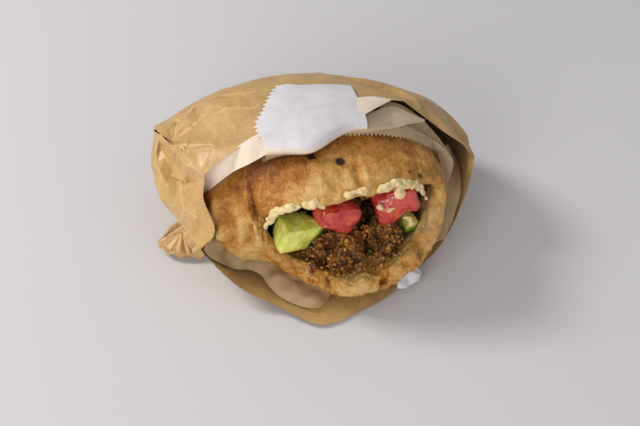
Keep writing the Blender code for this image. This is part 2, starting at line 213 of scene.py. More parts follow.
class Wiring:
    """Adds nodes to a material or a group and joins them."""

    def __init__(self, tree):
        self.tree = tree

    def add(self, kind, inputs=None, **settings):
        node = self.tree.nodes.new("ShaderNode" + kind)
        for key, value in settings.items():
            setattr(node, key, value)
        for key, value in (inputs or {}).items():
            self.feed(node, key, value)
        return node

    def feed(self, node, key, value):
        socket = node.inputs[key]
        if isinstance(value, bpy.types.NodeSocket):
            self.tree.links.new(value, socket)
        else:
            socket.default_value = value

    def noise(self, where, scale, detail=3.0, roughness=0.55, distortion=0.0):
        node = self.add("TexNoise", {"Vector": where, "Scale": scale, "Detail": detail, "Roughness": roughness,
                                     "Distortion": distortion})
        return node.outputs["Fac"]

    def spots(self, where, scale, randomness=1.0, feature="F1"):
        node = self.add("TexVoronoi", {"Vector": where, "Scale": scale, "Randomness": randomness}, feature=feature)
        return node.outputs["Distance"]

    def ramp(self, value, low, high, out_low=0.0, out_high=1.0):
        node = self.add("MapRange", {"Value": value, "From Min": low, "From Max": high, "To Min": out_low,
                                     "To Max": out_high}, clamp=True)
        node.interpolation_type = "SMOOTHSTEP"
        return node.outputs["Result"]

    def maths(self, operation, a, b=0.5):
        node = self.add("Math", operation=operation)
        self.feed(node, 0, a)
        self.feed(node, 1, b)
        return node.outputs["Value"]

    def blend(self, amount, a, b, how="MIX"):
        node = self.add("Mix", data_type="RGBA", blend_type=how)
        self.feed(node, 0, amount)
        self.feed(node, 6, a)
        self.feed(node, 7, b)
        return node.outputs[2]

    def stretched(self, where, scale, turn=(0, 0, 0)):
        node = self.add("Mapping", {"Vector": where, "Scale": scale, "Rotation": turn})
        return node.outputs["Vector"]

    def bump(self, height, strength, distance):
        node = self.add("Bump", {"Height": height, "Strength": strength, "Distance": distance})
        return node.outputs["Normal"]


def paper_grain_effect():
    """Fibres and cloudy thickness of thin paper: a mask for colour and a height for relief."""
    group, start, end = effect(
        "paper_grain",
        [("Place", "Vector", None), ("Fibre size", "Float", 0.0016), ("Cloud size", "Float", 0.012)],
        [("Fibres", "Float"), ("Clouds", "Float"), ("Height", "Float")],
    )
    w = Wiring(group)
    fibre_rate = w.maths("DIVIDE", 1.0, start.outputs["Fibre size"])
    cloud_rate = w.maths("DIVIDE", 1.0, start.outputs["Cloud size"])
    long_way = w.stretched(start.outputs["Place"], (1.0, 0.28, 0.6))
    other_way = w.stretched(start.outputs["Place"], (0.35, 1.0, 1.0), (0, 0, 0.5))
    first = w.noise(long_way, fibre_rate, 4, 0.65, 0.6)
    second = w.noise(other_way, fibre_rate, 3, 0.6, 0.4)
    fibres = w.maths("MULTIPLY", w.maths("ADD", first, second), 0.5)
    clouds = w.noise(start.outputs["Place"], cloud_rate, 4, 0.6, 0.3)
    height = w.maths("ADD", fibres, w.maths("MULTIPLY", clouds, 0.6))
    group.links.new(fibres, end.inputs["Fibres"])
    group.links.new(clouds, end.inputs["Clouds"])
    group.links.new(height, end.inputs["Height"])
    return group


def crumb_effect():
    """Rough broken crumb: pits, grains and their height."""
    group, start, end = effect(
        "crumb",
        [("Place", "Vector", None), ("Grain size", "Float", 0.0015)],
        [("Grains", "Float"), ("Pits", "Float"), ("Height", "Float")],
    )
    w = Wiring(group)
    rate = w.maths("DIVIDE", 1.0, start.outputs["Grain size"])
    warped = w.add("VectorMath", operation="ADD")
    group.links.new(start.outputs["Place"], warped.inputs[0])
    shift = w.add("TexNoise", {"Vector": start.outputs["Place"], "Scale": 420.0, "Detail": 2.0})
    scaled = w.add("VectorMath", {0: shift.outputs["Color"], 1: (0.0012, 0.0012, 0.0012)}, operation="MULTIPLY")
    group.links.new(scaled.outputs[0], warped.inputs[1])
    grains = w.spots(warped.outputs[0], rate)
    fine = w.noise(start.outputs["Place"], w.maths("MULTIPLY", rate, 2.3), 3, 0.7)
    pits = w.ramp(w.noise(warped.outputs[0], w.maths("MULTIPLY", rate, 0.55), 3, 0.6), 0.42, 0.6)
    height = w.maths("SUBTRACT", w.maths("MULTIPLY", fine, 0.7), w.maths("MULTIPLY", grains, 0.9))
    height = w.maths("ADD", height, w.maths("MULTIPLY", pits, 0.8))
    group.links.new(grains, end.inputs["Grains"])
    group.links.new(pits, end.inputs["Pits"])
    group.links.new(height, end.inputs["Height"])
    return group


PAPER_GRAIN = paper_grain_effect()
CRUMB = crumb_effect()


def finish(name, **plain):
    """A material with a Principled shader, its plain numbers set, and its wiring."""
    material = bpy.data.materials.new(name)
    material.use_nodes = True
    w = Wiring(material.node_tree)
    shader = material.node_tree.nodes["Principled BSDF"]
    for key, value in plain.items():
        shader.inputs[key.replace("_", " ")].default_value = value
    place_node = w.add("TexCoord")
    return material, w, shader, place_node.outputs["Object"]


def use(piece, material):
    piece.data.materials.clear()
    piece.data.materials.append(material)


def grain_of(w, where, fibre, cloud):
    node = w.add("Group")
    node.node_tree = PAPER_GRAIN
    w.feed(node, "Place", where)
    w.feed(node, "Fibre size", fibre)
    w.feed(node, "Cloud size", cloud)
    return node


def crumb_of(w, where, size):
    node = w.add("Group")
    node.node_tree = CRUMB
    w.feed(node, "Place", where)
    w.feed(node, "Grain size", size)
    return node


def kraft_finish():
    material, w, shader, here = finish("kraft_paper", IOR=1.45)
    grain = grain_of(w, here, 0.0011, 0.014)
    base = w.blend(w.ramp(grain.outputs["Clouds"], 0.3, 0.75), (0.43, 0.255, 0.088, 1), (0.52, 0.325, 0.122, 1))
    base = w.blend(w.ramp(grain.outputs["Fibres"], 0.42, 0.62, 0, 0.55), base, (0.59, 0.385, 0.165, 1))
    flecks = w.ramp(w.noise(w.stretched(here, (1, 0.22, 0.5), (0, 0, 0.7)), 1500.0, 2), 0.66, 0.8, 0, 0.45)
    base = w.blend(flecks, base, (0.25, 0.13, 0.042, 1))
    # Lighter colour along the creases: partly crease wear of the paper, partly a painted highlight on the fold ridges.
    crease_wear_and_highlight = w.add("Attribute", attribute_name="crease_wear_and_highlight").outputs["Fac"]
    base = w.blend(w.ramp(crease_wear_and_highlight, 0.1, 1, 0, 0.17), base, (0.86, 0.66, 0.40, 1))
    w.feed(shader, "Base Color", base)
    w.feed(shader, "Roughness", w.ramp(grain.outputs["Fibres"], 0.3, 0.7, 0.33, 0.47))
    sway = w.add("TexNoise", {"Vector": here, "Scale": 45.0, "Detail": 2.0})
    shift = w.add("VectorMath", {0: sway.outputs["Color"], 1: (0.012, 0.012, 0.012)}, operation="MULTIPLY")
    bent = w.add("VectorMath", {0: here, 1: shift.outputs[0]}, operation="ADD").outputs[0]
    worn_height = w.maths("ADD", w.spots(bent, 48.0), w.maths("MULTIPLY", w.spots(bent, 115.0), 0.4))
    worn = w.add("Bump", {"Height": worn_height, "Strength": 0.2, "Distance": 0.004})
    fibres = w.add("Bump", {"Height": grain.outputs["Height"], "Strength": 0.3, "Distance": 0.0002,
                            "Normal": worn.outputs["Normal"]})
    w.feed(shader, "Normal", fibres.outputs["Normal"])
    return material


def lining_finish():
    """Thin white paper: nearly opaque where it is doubled over, and letting the rest through elsewhere."""
    material, w, shader, here = finish("thin_white_paper", IOR=1.45)
    grain = grain_of(w, here, 0.0014, 0.009)
    doubled = w.add("Attribute", attribute_name="doubled").outputs["Fac"]
    white = w.blend(w.ramp(grain.outputs["Clouds"], 0.3, 0.7), (0.60, 0.57, 0.59, 1), (0.68, 0.66, 0.68, 1))
    warm = w.blend(w.ramp(grain.outputs["Clouds"], 0.3, 0.7), (0.84, 0.68, 0.50, 1), (0.90, 0.75, 0.59, 1))
    oily = w.blend(w.ramp(grain.outputs["Clouds"], 0.3, 0.7), (0.49, 0.325, 0.155, 1), (0.57, 0.395, 0.205, 1))
    base = w.blend(w.ramp(doubled, 0.02, 0.25), oily, warm)
    w.feed(shader, "Base Color", w.blend(w.ramp(doubled, 0.3, 1), base, white))
    w.feed(shader, "Alpha", w.ramp(doubled, 0, 0.6, 0.42, 1.0))
    w.feed(shader, "Roughness", w.ramp(grain.outputs["Fibres"], 0.3, 0.7, 0.45, 0.6))
    w.feed(shader, "Normal", w.bump(grain.outputs["Height"], 0.3, 0.0002))
    return material


def crust_finish():
    """Baked crust: pale dough, golden and toasted brown by how far it browned, lighter as a painted highlight on
    pressed fold ridges and darker as painted shade in fold valleys and beside the pleat, with scorched places.
    """
    material, w, shader, here = finish("bread_crust", IOR=1.33)
    toast_and_shading = w.add("Attribute", attribute_name="toast_and_shading").outputs["Fac"]
    burn = w.add("Attribute", attribute_name="burn").outputs["Fac"]
    middle = w.noise(here, 210.0, 5, 0.68, 1.2)
    streaks = w.noise(w.stretched(here, (1.0, 0.45, 0.8), (0.2, 0.1, 0.9)), 640.0, 4, 0.7, 0.8)
    fine = w.noise(here, 1250.0, 2, 0.6)
    amount = w.maths("ADD", toast_and_shading, w.maths("MULTIPLY", w.maths("SUBTRACT", middle, 0.5), 0.8))
    amount = w.maths("ADD", amount, w.maths("MULTIPLY", w.maths("SUBTRACT", streaks, 0.5), 0.85))
    amount = w.maths("ADD", amount, w.maths("MULTIPLY", w.maths("SUBTRACT", fine, 0.5), 0.6))
    base = w.blend(w.ramp(amount, 0.0, 0.32), (0.60, 0.385, 0.145, 1), (0.51, 0.265, 0.064, 1))
    base = w.blend(w.ramp(amount, 0.28, 0.62), base, (0.35, 0.135, 0.022, 1))
    base = w.blend(w.ramp(amount, 0.58, 0.98), base, (0.16, 0.050, 0.009, 1))
    scorch = w.maths("ADD", burn, w.maths("MULTIPLY", w.maths("SUBTRACT", streaks, 0.5), 0.35))
    base = w.blend(w.ramp(scorch, 0.2, 0.75), base, (0.028, 0.014, 0.009, 1))
    w.feed(shader, "Base Color", base)
    w.feed(shader, "Roughness", w.ramp(middle, 0.3, 0.7, 0.38, 0.62))
    pores = w.ramp(w.noise(here, 1300.0, 2, 0.6), 0.34, 0.6)
    relief = w.maths("ADD", w.maths("ADD", streaks, middle), w.maths("MULTIPLY", pores, 0.35))
    w.feed(shader, "Normal", w.bump(relief, 0.5, 0.0007))
    return material


def falafel_finish():
    """Fried chickpea crumb: brown to orange broken grains, darkened by painted shade in the pits between them."""
    material, w, shader, here = finish("falafel", IOR=1.36)
    crumb = crumb_of(w, here, 0.0021)
    tone = w.noise(here, 190.0, 4, 0.7, 0.5)
    base = w.blend(w.ramp(tone, 0.42, 0.58), (0.12, 0.043, 0.010, 1), (0.56, 0.215, 0.034, 1))
    # Painted shade: darker in the pits between the grains.
    base = w.blend(w.ramp(crumb.outputs["Grains"], 0.25, 0.75, 0, 0.7), base, (0.040, 0.017, 0.007, 1))
    base = w.blend(w.ramp(w.noise(here, 800.0, 3, 0.7), 0.58, 0.72, 0, 0.75), base, (0.55, 0.27, 0.062, 1))
    w.feed(shader, "Base Color", base)
    w.feed(shader, "Roughness", w.ramp(crumb.outputs["Pits"], 0, 1, 0.28, 0.55))
    w.feed(shader, "Normal", w.bump(crumb.outputs["Height"], 1.0, 0.002))
    return material


def tomato_finish():
    """Wet cut tomato: red flesh with paler veins, and a film of juice."""
    material, w, shader, here = finish("tomato", IOR=1.4, Coat_Weight=0.8, Coat_Roughness=0.06, Subsurface_Weight=0.3,
                                       Subsurface_Scale=0.002, Roughness=0.3)
    shader.inputs["Subsurface Radius"].default_value = (1.0, 0.25, 0.12)
    pulp = w.noise(here, 120.0, 3, 0.55, 0.8)
    base = w.blend(w.ramp(pulp, 0.36, 0.64), (0.42, 0.022, 0.014, 1), (0.62, 0.080, 0.040, 1))
    veins = w.ramp(w.noise(w.stretched(here, (1, 1, 0.35), (0.3, 0.5, 0)), 210.0, 2, 0.5, 1.2), 0.6, 0.78, 0, 0.55)
    base = w.blend(veins, base, (0.70, 0.24, 0.13, 1))
    w.feed(shader, "Base Color", base)
    film = w.noise(here, 420.0, 2, 0.45, 0.6)
    wet = w.bump(film, 0.8, 0.0011)
    w.feed(shader, "Normal", wet)
    w.feed(shader, "Coat Normal", wet)
    return material


def cucumber_finish():
    """Wet cut cucumber: pale watery flesh inside a dark green skin."""
    material, w, shader, here = finish("cucumber", IOR=1.4, Coat_Weight=1.0, Coat_Roughness=0.05,
                                       Subsurface_Weight=0.35, Subsurface_Scale=0.003, Roughness=0.3)
    shader.inputs["Subsurface Radius"].default_value = (0.8, 1.0, 0.25)
    skin = w.add("Attribute", attribute_name="skin").outputs["Fac"]
    flesh = w.noise(w.stretched(here, (1.0, 1.0, 0.75), (0.2, 0.3, 0)), 150.0, 3, 0.5, 0.8)
    base = w.blend(w.ramp(flesh, 0.36, 0.64), (0.52, 0.54, 0.065, 1), (0.74, 0.71, 0.17, 1))
    # Pale speckles: partly seeds, partly painted wet glints.
    seeds_and_glints = w.ramp(w.noise(w.stretched(here, (1, 0.5, 1), (0, 0.4, 0.3)), 300.0, 2), 0.58, 0.7, 0, 0.5)
    base = w.blend(seeds_and_glints, base, (0.80, 0.78, 0.36, 1))
    base = w.blend(w.ramp(skin, 0.35, 0.6), base, (0.17, 0.29, 0.02, 1))
    base = w.blend(w.ramp(skin, 0.6, 0.85), base, (0.020, 0.062, 0.008, 1))
    w.feed(shader, "Base Color", base)
    film = w.noise(here, 340.0, 2, 0.45, 0.4)
    wet = w.bump(film, 0.6, 0.0011)
    w.feed(shader, "Normal", wet)
    w.feed(shader, "Coat Normal", wet)
    return material


def hummus_finish():
    material, w, shader, here = finish("hummus", IOR=1.4, Roughness=0.34, Subsurface_Weight=0.3, Subsurface_Scale=0.002)
    tone = w.noise(here, 230.0, 3, 0.6)
    grit = w.noise(here, 620.0, 3, 0.6)
    base = w.blend(w.ramp(tone, 0.35, 0.65), (0.66, 0.50, 0.235, 1), (0.73, 0.58, 0.31, 1))
    base = w.blend(w.ramp(grit, 0.68, 0.78, 0, 0.25), base, (0.50, 0.33, 0.12, 1))
    w.feed(shader, "Base Color", base)
    w.feed(shader, "Normal", w.bump(w.maths("ADD", tone, w.maths("MULTIPLY", grit, 0.25)), 0.3, 0.0008))
    return material


def bed_finish():
    """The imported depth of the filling: dark brown crumb with wet leaf and sauce."""
    material, w, shader, here = finish("salad_bed", IOR=1.4)
    crumb = crumb_of(w, here, 0.0016)
    kinds = w.noise(here, 120.0, 3, 0.6, 0.8)
    base = w.blend(w.ramp(kinds, 0.42, 0.6), (0.055, 0.026, 0.008, 1), (0.13, 0.062, 0.016, 1))
    base = w.blend(w.ramp(w.noise(here, 95.0, 2), 0.58, 0.66, 0, 0.8), base, (0.075, 0.085, 0.012, 1))
    # Painted shade: darker in the pits between the grains.
    base = w.blend(w.ramp(crumb.outputs["Grains"], 0.2, 0.7, 0, 0.7), base, (0.018, 0.010, 0.004, 1))
    w.feed(shader, "Base Color", base)
    w.feed(shader, "Roughness", w.ramp(crumb.outputs["Pits"], 0, 1, 0.25, 0.6))
    w.feed(shader, "Normal", w.bump(crumb.outputs["Height"], 0.8, 0.001))
    return material


def speck_finish(name, dark, light, size, gloss=0.5):
    """Small loose bits: each takes its tone from where it lies."""
    material, w, shader, here = finish(name, IOR=1.45, Roughness=gloss)
    tone = w.noise(here, 1 / size, 3, 0.7)
    w.feed(shader, "Base Color", w.blend(w.ramp(tone, 0.36, 0.64), dark, light))
    w.feed(shader, "Normal", w.bump(w.noise(here, 1500.0, 2), 0.4, 0.0003))
    return material


KRAFT = kraft_finish()
LINING = lining_finish()
CRUST = crust_finish()
FALAFEL = falafel_finish()
TOMATO = tomato_finish()
CUCUMBER = cucumber_finish()
HUMMUS = hummus_finish()
BED = bed_finish()
CRUMBS = speck_finish("falafel_crumbs", (0.085, 0.031, 0.009, 1), (0.62, 0.255, 0.042, 1), 0.0052, 0.3)
BREAD_CRUMBS = speck_finish("bread_crumbs", (0.58, 0.42, 0.20, 1), (0.80, 0.68, 0.44, 1), 0.004)
HERBS = speck_finish("herb_bits", (0.05, 0.085, 0.008, 1), (0.26, 0.30, 0.035, 1), 0.003)

# Shaping fine meshes

def along(points, start, end):
    """For each point: its distance from the line, its share of the way along it, and the vector to it."""
    start, end = np.array(start) * MM, np.array(end) * MM
    way = end - start
    share = np.clip((points - start) @ way / (way @ way), 0, 1)
    offset = points - (start + share[:, None] * way)
    return np.linalg.norm(offset, axis=1), share, offset


def press_folds(piece, folds, deep=9.0, facing=None):
    """Presses folds into a fine sheet: (corner points in mm, height, half width, sharpness).

    A fold above zero is a ridge and one below is a valley. It fades at both of its ends. Only the
    part of the sheet that lies within deep mm of the line, measured through the sheet, is moved, and
    where facing is given, only what faces that way.
    """
    points, normals = points_of(piece), normals_of(piece)
    turned = np.zeros(len(points), bool) if facing is None else normals @ np.array(facing) < 0
    push = np.zeros(len(points))
    for corners, height, width, sharpness in folds:
        spans = list(zip(corners[:-1], corners[1:]))
        best = np.full(len(points), 1.0)
        place_on = np.zeros(len(points))
        for number, (start, end) in enumerate(spans):
            far, share, offset = along(points, start, end)
            through = np.einsum("ij,ij->i", offset, normals)
            far = np.where(np.abs(through) < deep * MM, np.sqrt(np.maximum(far**2 - through**2, 0)), 1.0)
            far = np.where(turned, 1.0, far)
            nearer = far < best
            best = np.where(nearer, far, best)
            place_on = np.where(nearer, (number + share) / len(spans), place_on)
        profile = np.clip(1 - best / (width * MM), 0, 1) ** sharpness
        fade = np.clip(1 - np.abs(2 * place_on - 1) ** 5, 0, 1)
        push += height * MM * profile * fade
    set_points(piece, points + normals * push[:, None])
    return push / MM


def press_pleat(piece, corners, drop, reach, rise, over, facing, deep=9.0):
    """A pleat: beside the line the sheet steps down by drop mm on its left and bulges up on its right."""
    points, normals = points_of(piece), normals_of(piece)
    spans = list(zip(corners[:-1], corners[1:]))
    best = np.full(len(points), 1.0)
    side, place_on = np.zeros(len(points)), np.zeros(len(points))
    for number, (start, end) in enumerate(spans):
        far, share, offset = along(points, start, end)
        through = np.einsum("ij,ij->i", offset, normals)
        flat = offset - through[:, None] * normals
        far = np.where(np.abs(through) < deep * MM, np.linalg.norm(flat, axis=1), 1.0)
        far = np.where(normals @ np.array(facing) < 0, 1.0, far)
        way = np.array(end, float) - np.array(start, float)
        nearer = far < best
        best = np.where(nearer, far, best)
        side = np.where(nearer, np.sign(np.einsum("ij,ij->i", flat, np.cross(normals, way))), side)
        place_on = np.where(nearer, (number + share) / len(spans), place_on)
    fade = np.clip(1 - np.abs(2 * place_on - 1) ** 4, 0, 1)
    down = -drop * np.clip(1 - best / (reach * MM), 0, 1) ** 1.5
    up = rise * np.clip(1 - best / (over * MM), 0, 1) * np.clip(best / (0.5 * MM), 0, 1)
    set_points(piece, points + normals * (np.where(side < 0, down, up) * fade)[:, None] * MM)
    return np.where(side < 0, np.clip(1 - best / (0.4 * reach * MM), 0, 1), 0) * fade


def raise_lumps(piece, lumps):
    """Soft lumps (above zero) and dents (below): (x, y, z, reach, height), all in mm."""
    points, normals = points_of(piece), normals_of(piece)
    push = np.zeros(len(points))
    for x, y, z, reach, height in lumps:
        far = np.linalg.norm(points / MM - np.array((x, y, z)), axis=1) / reach
        push += height * np.clip(1 - far**2, 0, 1) ** 2
    set_points(piece, points + normals * push[:, None] * MM)


# The way the open side of the sandwich looks
FRONT = Vector((-0.192, -0.718, 0.669)).normalized()


def refine_near(piece, lines, way, reach, within):
    """Halves the mesh of a piece within reach mm of lines of corner points as seen along way."""
    piece.data.update()
    flatten = lambda p: p - np.outer(p @ np.array(way), np.array(way))
    middles = flatten(np.array([p.center for p in piece.data.polygons]))
    best = np.full(len(middles), 1.0)
    for line in lines:
        line = flatten(np.array(line, float))
        for start, end in zip(line[:-1], line[1:]):
            best = np.minimum(best, along(middles, start, end)[0])
    wanted = set(np.nonzero(best < reach * MM)[0].tolist())
    choose(piece, lambda f: f.index in wanted and f.normal.dot(way) > -0.15 and within(f.calc_center_median() / MM))
    bpy.ops.mesh.subdivide(number_cuts=1)
    edit_done()


def lay_flat_between(piece, lines, way, edge, span=19.5, deep=9.0):
    """Presses a sheet into flat facets that meet in sharp creases along lines of corner points in mm.

    The facets span the corners as seen along way, none of them wider than span mm; the sheet moves only
    that way, by up to deep mm, and blends into its own shape within edge mm of the outermost facets. Returns how
    near each point is to a crease.
    """
    side = way.cross(Vector((0, 0, 1))).normalized()
    frame = np.array([side, side.cross(way), way]).T
    corners, edges = [], []
    for line in lines:
        spots = []
        for corner in line:
            spot = tuple((np.array(corner) @ frame).tolist())
            if spot not in corners:
                corners.append(spot)
            spots.append(corners.index(spot))
        edges += list(zip(spots[:-1], spots[1:]))
    flat = [Vector(c[:2]) for c in corners]
    spread, _, facets, first, _, _ = delaunay_2d_cdt(flat, edges, [], 0, 1e-4)
    depths = []
    for spot, source in zip(spread, first):
        near = source[0] if source else min(range(len(flat)), key=lambda k: (flat[k] - spot).length)
        depths.append(corners[near][2])
    solid = [np.array([*spot, depth]) for spot, depth in zip(spread, depths)]
    longest = lambda f: max(np.linalg.norm(solid[a] - solid[b]) for a, b in zip(f, f[1:] + f[:1]))
    facets = [f for f in map(tuple, facets) if longest(f) < span]
    sides = [tuple(sorted(pair)) for f in facets for pair in zip(f, f[1:] + f[:1])]
    rim = [(solid[a][:2], solid[b][:2]) for a, b in sides if sides.count((a, b)) == 1]
    points, normals = points_of(piece) / MM, normals_of(piece)
    here = points @ frame
    facing = normals @ np.array(way) > -0.15
    inside = np.full(len(here), 1e9)
    laid = np.zeros(len(here), bool)
    for a, b in rim:
        share = np.clip((here[:, :2] - a) @ (b - a) / ((b - a) @ (b - a)), 0, 1)
        inside = np.minimum(inside, np.linalg.norm(here[:, :2] - a - share[:, None] * (b - a), axis=1))
    for facet in facets:
        a, b, c = (np.array(spread[k]) for k in facet)
        turn = np.linalg.inv(np.array([b - a, c - a]).T)
        share = (here[:, :2] - a) @ turn.T
        held = (share.min(1) >= 0) & (share.sum(1) <= 1) & facing & ~laid
        laid |= held
        za, zb, zc = (depths[k] for k in facet)
        wanted = za + share[:, 0] * (zb - za) + share[:, 1] * (zc - za)
        move = np.where(held, wanted - here[:, 2], 0.0)
        move = np.where(np.abs(move) < deep, move, 0.0) * np.clip(inside / edge, 0, 1)
        points += move[:, None] * np.array(way)
    set_points(piece, points * MM)
    near = np.full(len(here), 1e9)
    for a, b in edges:
        a, b = np.array(flat[a]), np.array(flat[b])
        share = np.clip((here[:, :2] - a) @ (b - a) / ((b - a) @ (b - a)), 0, 1)
        near = np.minimum(near, np.linalg.norm(here[:, :2] - a - share[:, None] * (b - a), axis=1))
    return np.where(facing, np.exp(-((near / 0.38) ** 2)), 0.0)


def draw_out(piece, centre, reach, way):
    """Draws a soft region of a piece along one direction: centre, reach and way in mm."""
    points = points_of(piece)
    far = np.linalg.norm(points / MM - np.array(centre), axis=1) / reach
    set_points(piece, points + (np.clip(1 - far**2, 0, 1) ** 2)[:, None] * np.array(way, float) * MM)


def crumple(piece, seed, count, reach, height, keep=None):
    """Scatters faint straight folds over a fine sheet: each bends it a little along its own line."""
    chance = np.random.default_rng(seed)
    points, normals = points_of(piece), normals_of(piece)
    push = np.zeros(len(points))
    for _ in range(count):
        middle = points[chance.integers(len(points))]
        facing = normals[chance.integers(len(points))]
        across = np.cross(facing, chance.normal(size=3))
        across /= np.linalg.norm(across)
        size = reach * MM * chance.uniform(0.6, 1.4)
        offset = points - middle
        far = np.linalg.norm(offset, axis=1) / size
        window = np.clip(1 - far**2, 0, 1) ** 2
        push += chance.choice((-1, 1)) * height * MM * window * (1 - np.abs(offset @ across) / size * 2.2)
    if keep is not None:
        push *= keep(points)
    set_points(piece, points + normals * push[:, None])


def swell(piece, size, height, seed, keep=None, layers=3):
    """Soft uneven swelling along the surface's own normals."""
    points, normals = points_of(piece), normals_of(piece)
    shift = Vector((seed * 1.7, seed * 0.9, seed * 2.3))
    push = np.array([noise.fractal(Vector(p) / (size * MM) + shift, 0.9, 2.0, layers) for p in points]) * height * MM
    if keep is not None:
        push *= keep(points)
    set_points(piece, points + normals * push[:, None])


def paint(piece, name, values):
    attribute = piece.data.attributes.new(name, "FLOAT", "POINT")
    attribute.data.foreach_set("value", np.clip(values, 0, 1).astype(np.float32))


def saw_edge(piece, inside, pitch, depth, seed=1, ragged=0.0):
    """Gives the free edge where inside(point) holds a row of small teeth, as a packing blade cuts it."""
    chance = random.Random(seed)
    work = bmesh.new()
    work.from_mesh(piece.data)
    work.normal_update()
    free = [e for e in work.edges if len(e.link_faces) == 1 and inside((e.verts[0].co + e.verts[1].co) / 2)]
    left = set(free)
    rows = []
    for first in free:
        if first not in left:
            continue
        left.discard(first)
        chain = [(first.verts[0], first, first.verts[1])]
        for forward in (True, False):
            corner = chain[-1][2] if forward else chain[0][0]
            while True:
                edge = next((e for e in corner.link_edges if e in left), None)
                if edge is None:
                    break
                left.discard(edge)
                beyond = edge.other_vert(corner)
                chain = chain + [(corner, edge, beyond)] if forward else [(beyond, edge, corner)] + chain
                corner = beyond
        rows.append(chain)
    for chain in rows:
        lengths = [step[1].calc_length() for step in chain]
        ends = np.cumsum(lengths)
        facing = [step[1].link_faces[0].normal.copy() for step in chain]
        outward = []
        for (a, edge, b), normal in zip(chain, facing):
            out = (b.co - a.co).cross(normal).normalized()
            if out.dot((a.co + b.co) / 2 - edge.link_faces[0].calc_center_median()) < 0:
                out = -out
            outward.append(out)

        def at(distance):
            i = min(int(np.searchsorted(ends, distance)), len(chain) - 1)
            share = 1 - (ends[i] - distance) / lengths[i]
            return chain[i][0].co.lerp(chain[i][2].co, min(1.0, max(0.0, share))), outward[i], facing[i]

        count = int(ends[-1] / (pitch * MM))
        marks = [at(k * pitch * MM)[0] for k in range(count + 1)]
        for k in range(count):
            _, out, normal = at((k + 0.5) * pitch * MM)
            reach = depth * MM * (1 + ragged * chance.uniform(-1, 1))
            tip = (marks[k] + marks[k + 1]) / 2 + out * reach
            corners = [work.verts.new(p) for p in (marks[k], marks[k + 1], tip)]
            face = work.faces.new(corners)
            face.normal_update()
            if face.normal.dot(normal) < 0:
                face.normal_flip()
    work.to_mesh(piece.data)
    work.free()
    piece.data.update()

# Papers

def outer_skin(node, name, seed):
    """A copy of a paper solid brought down to one skin: the one that holds the face nearest to seed."""
    piece = copy_of(NODES[node], name)
    choose(piece, lambda f: min(e.calc_length() for e in f.edges) < 0.97 * MM)
    bpy.ops.mesh.hide(unselected=False)
    work = bmesh.from_edit_mesh(piece.data)
    shown = [f for f in work.faces if not f.hide]
    first = min(shown, key=lambda f: (f.calc_center_median() - Vector(seed)).length)
    first.select_set(True)
    bmesh.update_edit_mesh(piece.data)
    bpy.ops.mesh.select_linked()
    bpy.ops.mesh.reveal(select=False)
    bpy.ops.mesh.select_all(action="INVERT")
    bpy.ops.mesh.delete(type="FACE")
    bpy.ops.mesh.select_all(action="SELECT")
    bpy.ops.mesh.tris_convert_to_quads(face_threshold=math.radians(60), shape_threshold=math.radians(60))
    edit_done()
    return piece


def smooth_line(corners, count):
    """Evenly spaced points, in metres, on a soft line through corner points given in mm."""
    p = np.array(corners, float) * MM
    p = np.concatenate([[2 * p[0] - p[1]], p, [2 * p[-1] - p[-2]]])
    fine = []
    for a, b, c, d in zip(p[:-3], p[1:-2], p[2:-1], p[3:]):
        for t in np.linspace(0, 1, 24, endpoint=False):
            fine.append(0.5 * (2 * b + (c - a) * t + (2 * a - 5 * b + 4 * c - d) * t**2 + (3 * b - a - 3 * c + d) * t**3))
    fine = np.array([*fine, p[-2]])
    run = np.concatenate([[0], np.cumsum(np.linalg.norm(np.diff(fine, axis=0), axis=1))])
    wanted = np.linspace(0, run[-1], count)
    return np.stack([np.interp(wanted, run, fine[:, k]) for k in range(3)], 1)


def strip_of_paper(name, near, far, bow, long_way=48, short_way=16):
    """A sheet between two lines of corner points, arched by bow mm between them."""
    deselect()
    bpy.ops.mesh.primitive_grid_add(x_subdivisions=long_way, y_subdivisions=short_way, size=1)
    piece = bpy.context.object
    piece.name = name
    flat = points_of(piece)
    columns = np.rint((flat[:, 0] + 0.5) * long_way).astype(int)
    share = (flat[:, 1] + 0.5)[:, None]
    lines = smooth_line(near, long_way + 1)[columns], smooth_line(far, long_way + 1)[columns]
    points = lines[0] * (1 - share) + lines[1] * share
    points[:, 2] += (4 * share * (1 - share))[:, 0] * bow * MM
    set_points(piece, points)
    return piece


# Folds pressed into the bag by the hand that closed it: corner points in mm, height, half width, sharpness
KRAFT_FOLDS = (
    (((-34, 36, 64), (-6, 26, 71)), -1.3, 5, 0.95),
    (((16, 28, 69), (52, 3, 66)), -1.5, 4, 0.95),
    (((26, 26, 68), (60, 8, 61)), 1.5, 5, 0.95),
    (((46, 16, 66), (54, -4, 65)), 1.2, 3.4, 0.95),
    (((55, 2, 62), (71, -20, 41)), 1.3, 3.6, 0.95),
    (((62, 10, 56), (74, -12, 38)), -1.2, 4, 0.95),
    (((38, 34, 62), (66, 22, 48)), -1.4, 5, 0.95),
    (((-52, 48, 40), (16, 60, 26)), 1.4, 5, 0.95),
    (((-36, 66, 14), (-4, 34, 66)), -1.4, 5, 0.95),
    (((42, 64, 12), (10, 36, 65)), 1.6, 5, 0.95),
    (((-62, 42, 32), (-38, 64, 16)), -1.6, 5, 0.95),
    (((64, 42, 28), (4, 63, 18)), -1.4, 4.6, 0.95),
    (((78, 14, 28), (62, -40, 20)), 1.4, 4, 0.95),
    (((75, 34, 16), (72, -18, 12)), -1.3, 4, 0.95),
    (((-76, 32, 26), (-71, 4, 14)), 1.5, 4, 0.95),
    (((66, 10, 50), (70, -10, 44), (70, -22, 38)), -1.4, 5.0, 0.9),
)
